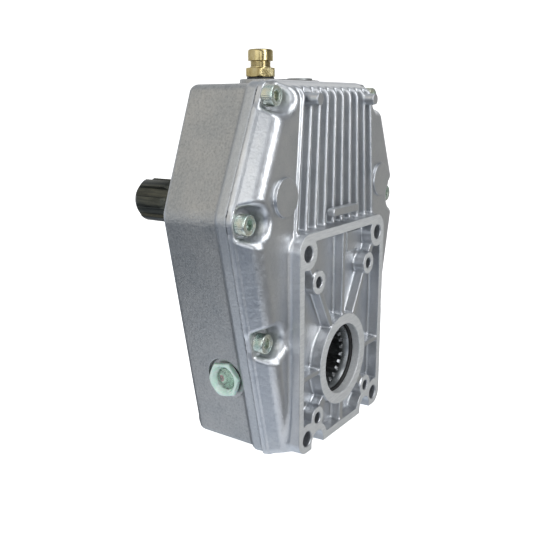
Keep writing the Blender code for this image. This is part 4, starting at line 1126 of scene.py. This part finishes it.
def make_pinion():
    """Hollow pinion: gear teeth outside, spline teeth inside behind a smooth countersink."""
    count = 552

    def teeth(number, root, tip, root_half, tip_half):
        pitch = 2 * math.pi / number

        def radius(a):
            off = np.abs((a + pitch / 2) % pitch - pitch / 2)
            share = np.clip((root_half - off) / (root_half - tip_half), 0.0, 1.0)
            return root + (tip - root) * share

        return radius

    gear = teeth(23, 30.9, 37.2, 0.082, 0.030)
    spline = teeth(24, 22.0, 20.0, 0.078, 0.046)
    shallow = teeth(24, 22.0, 21.2, 0.070, 0.046)
    rows = [(23.9, 8.5), (24.3, 8.6), (24.7, 9.1), (24.7, 28.2), (24.9, 28.6), (28.3, 28.6), (28.6, 28.9), (28.6, 32.5)]
    rows += [(teeth(23, 30.6, 36.4, 0.082, 0.028), 32.5), (gear, 33.2), (gear, 56.8), (teeth(23, 30.6, 36.4, 0.082, 0.028), 57.5)]
    rows += [(28.6, 57.5), (28.6, 58.9), (28.3, 59.2), (24.9, 59.2), (24.7, 59.6), (24.7, 75.1), (24.3, 75.6), (23.9, 75.7)]
    rows += [(22.9, 75.7), (22.3, 75.2), (shallow, 74.6), (spline, 73.4), (spline, 14.6), (shallow, 13.4), (22.1, 12.9), (22.2, 12.2), (23.3, 8.8), (23.5, 8.5)]
    place(spin("output_pinion_fine", rows, (0, 0, 0), "Y", count, True), GEAR, "output_pinion", "output_rotor", "gear_steel")


make_seals()
make_pinion()


# ----------------------------------------------------------------------- studio
def make_stage():
    """A pale seamless floor that sweeps up into a wall, far from the piece."""
    look = Look("floor_finish", roughness=0.9, colour=(0.9, 0.9, 0.9))
    look.set("Specular IOR Level", 0.1)
    look.set("Emission Color", (1.0, 1.0, 1.0, 1.0))
    look.set("Emission Strength", 1.0)
    mottle = look.noise(3.0, 2.0)
    look.link(look.ramp(mottle, ((0.3, (0.88, 0.88, 0.88)), (0.7, (0.92, 0.92, 0.92)))), "Base Color")
    profile = [(0.0, 0.0), (1500.0, 0.0), (3000.0, 0.0)]
    for step in range(1, 13):
        turn = math.pi / 2 * step / 12
        profile.append((3000.0 + 1500.0 * math.sin(turn), 1500.0 * (1 - math.cos(turn))))
    profile.append((4500.0, 4500.0))
    count = 96
    angle = np.arange(count) * 2 * math.pi / count
    verts, faces = [], []
    for radius, height in profile:
        for a in angle:
            verts.append((radius * math.cos(a) * MM, radius * math.sin(a) * MM, height * MM - 0.0002))
    for i in range(len(profile) - 1):
        for k in range(count):
            m = (k + 1) % count
            faces.append((i * count + k, i * count + m, (i + 1) * count + m, (i + 1) * count + k))
    mesh = bpy.data.meshes.new("studio_floor")
    mesh.from_pydata(verts, [], faces)
    bm = bmesh.new()
    bm.from_mesh(mesh)
    bmesh.ops.remove_doubles(bm, verts=bm.verts, dist=1e-6)
    bmesh.ops.recalc_face_normals(bm, faces=bm.faces)
    bm.to_mesh(mesh)
    bm.free()
    mesh.shade_smooth()
    mesh.materials.append(look.mat)
    obj = bpy.data.objects.new("studio_floor", mesh)
    obj.visible_diffuse = False
    obj.visible_glossy = False
    obj.visible_shadow = False
    bpy.context.scene.collection.objects.link(obj)


def softbox(name, place_at, size, radiance, colour=(1.0, 1.0, 1.0), target=(0.0, -0.02, 0.13)):
    """A rectangular lamp that faces the piece, as bright as the radiance."""
    data = bpy.data.lights.new(name, "AREA")
    data.shape = "RECTANGLE"
    data.size, data.size_y = size
    data.energy = radiance * math.pi * size[0] * size[1]
    data.color = colour
    obj = bpy.data.objects.new(name, data)
    obj.location = place_at
    toward = Vector(place_at) - Vector(target)
    obj.rotation_euler = toward.to_track_quat("Z", "Y").to_euler()
    obj.visible_camera = False
    bpy.context.scene.collection.objects.link(obj)
    return obj


def make_light():
    scene_world = bpy.data.worlds.new("studio")
    bpy.context.scene.world = scene_world
    scene_world.use_nodes = True
    tree = scene_world.node_tree
    back = tree.nodes["Background"]
    coords = tree.nodes.new("ShaderNodeTexCoord")

    def lobe(direction, outer, inner):
        unit = Vector(direction).normalized()
        dot = tree.nodes.new("ShaderNodeVectorMath")
        dot.operation = "DOT_PRODUCT"
        tree.links.new(coords.outputs["Generated"], dot.inputs[0])
        dot.inputs[1].default_value = unit
        spread = tree.nodes.new("ShaderNodeMapRange")
        spread.interpolation_type = "SMOOTHSTEP"
        tree.links.new(dot.outputs["Value"], spread.inputs["Value"])
        spread.inputs["From Min"].default_value = math.cos(math.radians(outer))
        spread.inputs["From Max"].default_value = math.cos(math.radians(inner))
        return spread.outputs["Result"]

    def mix(share, a, b):
        node = tree.nodes.new("ShaderNodeMix")
        node.data_type = "RGBA"
        tree.links.new(share, node.inputs["Factor"])
        sockets = [s for s in node.inputs if s.type == "RGBA"]
        for socket, value in zip(sockets, (a, b)):
            if isinstance(value, bpy.types.NodeSocket):
                tree.links.new(value, socket)
            else:
                socket.default_value = (*value, 1.0)
        return [s for s in node.outputs if s.type == "RGBA"][0]

    parts = tree.nodes.new("ShaderNodeSeparateXYZ")
    tree.links.new(coords.outputs["Generated"], parts.inputs[0])
    rise = tree.nodes.new("ShaderNodeMapRange")
    tree.links.new(parts.outputs["Z"], rise.inputs["Value"])
    rise.inputs["From Min"].default_value = -1.0
    rise.inputs["From Max"].default_value = 1.0
    sky = tree.nodes.new("ShaderNodeValToRGB")
    tree.links.new(rise.outputs["Result"], sky.inputs["Fac"])
    stops = (
        (0.0, (0.82, 0.88, 0.96)), (0.08, (0.72, 0.79, 0.88)), (0.135, (0.46, 0.52, 0.61)), (0.185, (0.13, 0.16, 0.21)),
        (0.235, (0.035, 0.048, 0.07)), (0.345, (0.04, 0.055, 0.08)), (0.40, (0.55, 0.65, 0.80)), (0.455, (0.98, 1.07, 1.20)),
        (0.58, (0.64, 0.66, 0.68)), (1.0, (0.42, 0.45, 0.49)),
    )
    while len(sky.color_ramp.elements) < len(stops):
        sky.color_ramp.elements.new(0.5)
    for element, (at, value) in zip(sky.color_ramp.elements, stops):
        element.position = at
        element.color = (*value, 1.0)
    colour = mix(lobe((0.25, -1.0, 0.05), 95.0, 40.0), sky.outputs["Color"], (0.17, 0.175, 0.18))
    colour = mix(lobe((-0.72, 0.56, 0.42), 50.0, 10.0), colour, (0.72, 0.70, 0.65))
    colour = mix(lobe((0.8085, -0.5388, -0.2369), 48.0, 12.0), colour, (0.36, 0.36, 0.345))
    colour = mix(lobe((0.8085, 0.5388, 0.06), 46.0, 28.0), colour, (0.9, 0.9, 0.9))
    tree.links.new(colour, back.inputs["Color"])
    back.inputs["Strength"].default_value = 1.0
    softbox("strip_front_left", (-0.16, -0.70, 0.40), (0.20, 0.66), 5.0, (0.96, 0.98, 1.0))
    softbox("front_left", (-0.76, -0.62, 0.22), (0.24, 0.5), 1.7, (0.94, 0.97, 1.0))
    softbox("top_front", (-0.12, -0.52, 0.95), (0.6, 0.45), 2.2, (0.97, 0.99, 1.0))
    softbox("left", (-1.02, -0.10, 0.62), (0.7, 0.7), 0.9, (0.96, 0.98, 1.0))
    softbox("bounce_left", (-0.22, 0.08, -0.10), (0.22, 0.22), 0.5, (0.95, 0.97, 1.0), (-0.07, -0.01, 0.02))
    softbox("bounce_front", (-0.20, -0.26, -0.16), (0.24, 0.16), 0.8, (0.92, 0.95, 1.0), (-0.06, -0.07, 0.02))


def make_camera():
    azimuth, elevation, roll = math.radians(-56.325), math.radians(13.704), math.radians(-0.073)
    back = Vector((math.sin(azimuth) * math.cos(elevation), -math.cos(azimuth) * math.cos(elevation), math.sin(elevation)))
    right = (-back).cross(Vector((0, 0, 1))).normalized()
    up = right.cross(-back)
    right, up = right * math.cos(roll) + up * math.sin(roll), up * math.cos(roll) - right * math.sin(roll)
    data = bpy.data.cameras.new("photo_view")
    data.lens = 719.966 / 555.0 * 36.0
    data.sensor_width = 36.0
    data.clip_start = 0.01
    data.clip_end = 50.0
    obj = bpy.data.objects.new("photo_view", data)
    place_at = Vector((-0.433451, -0.324834, 0.234698))
    obj.matrix_world = Matrix.Translation(place_at) @ Matrix((right, up, back)).transposed().to_4x4()
    bpy.context.scene.collection.objects.link(obj)
    bpy.context.scene.camera = obj


make_stage()
make_light()
make_camera()
bpy.context.scene.view_settings.view_transform = "Standard"
bpy.context.scene.view_settings.look = "None"
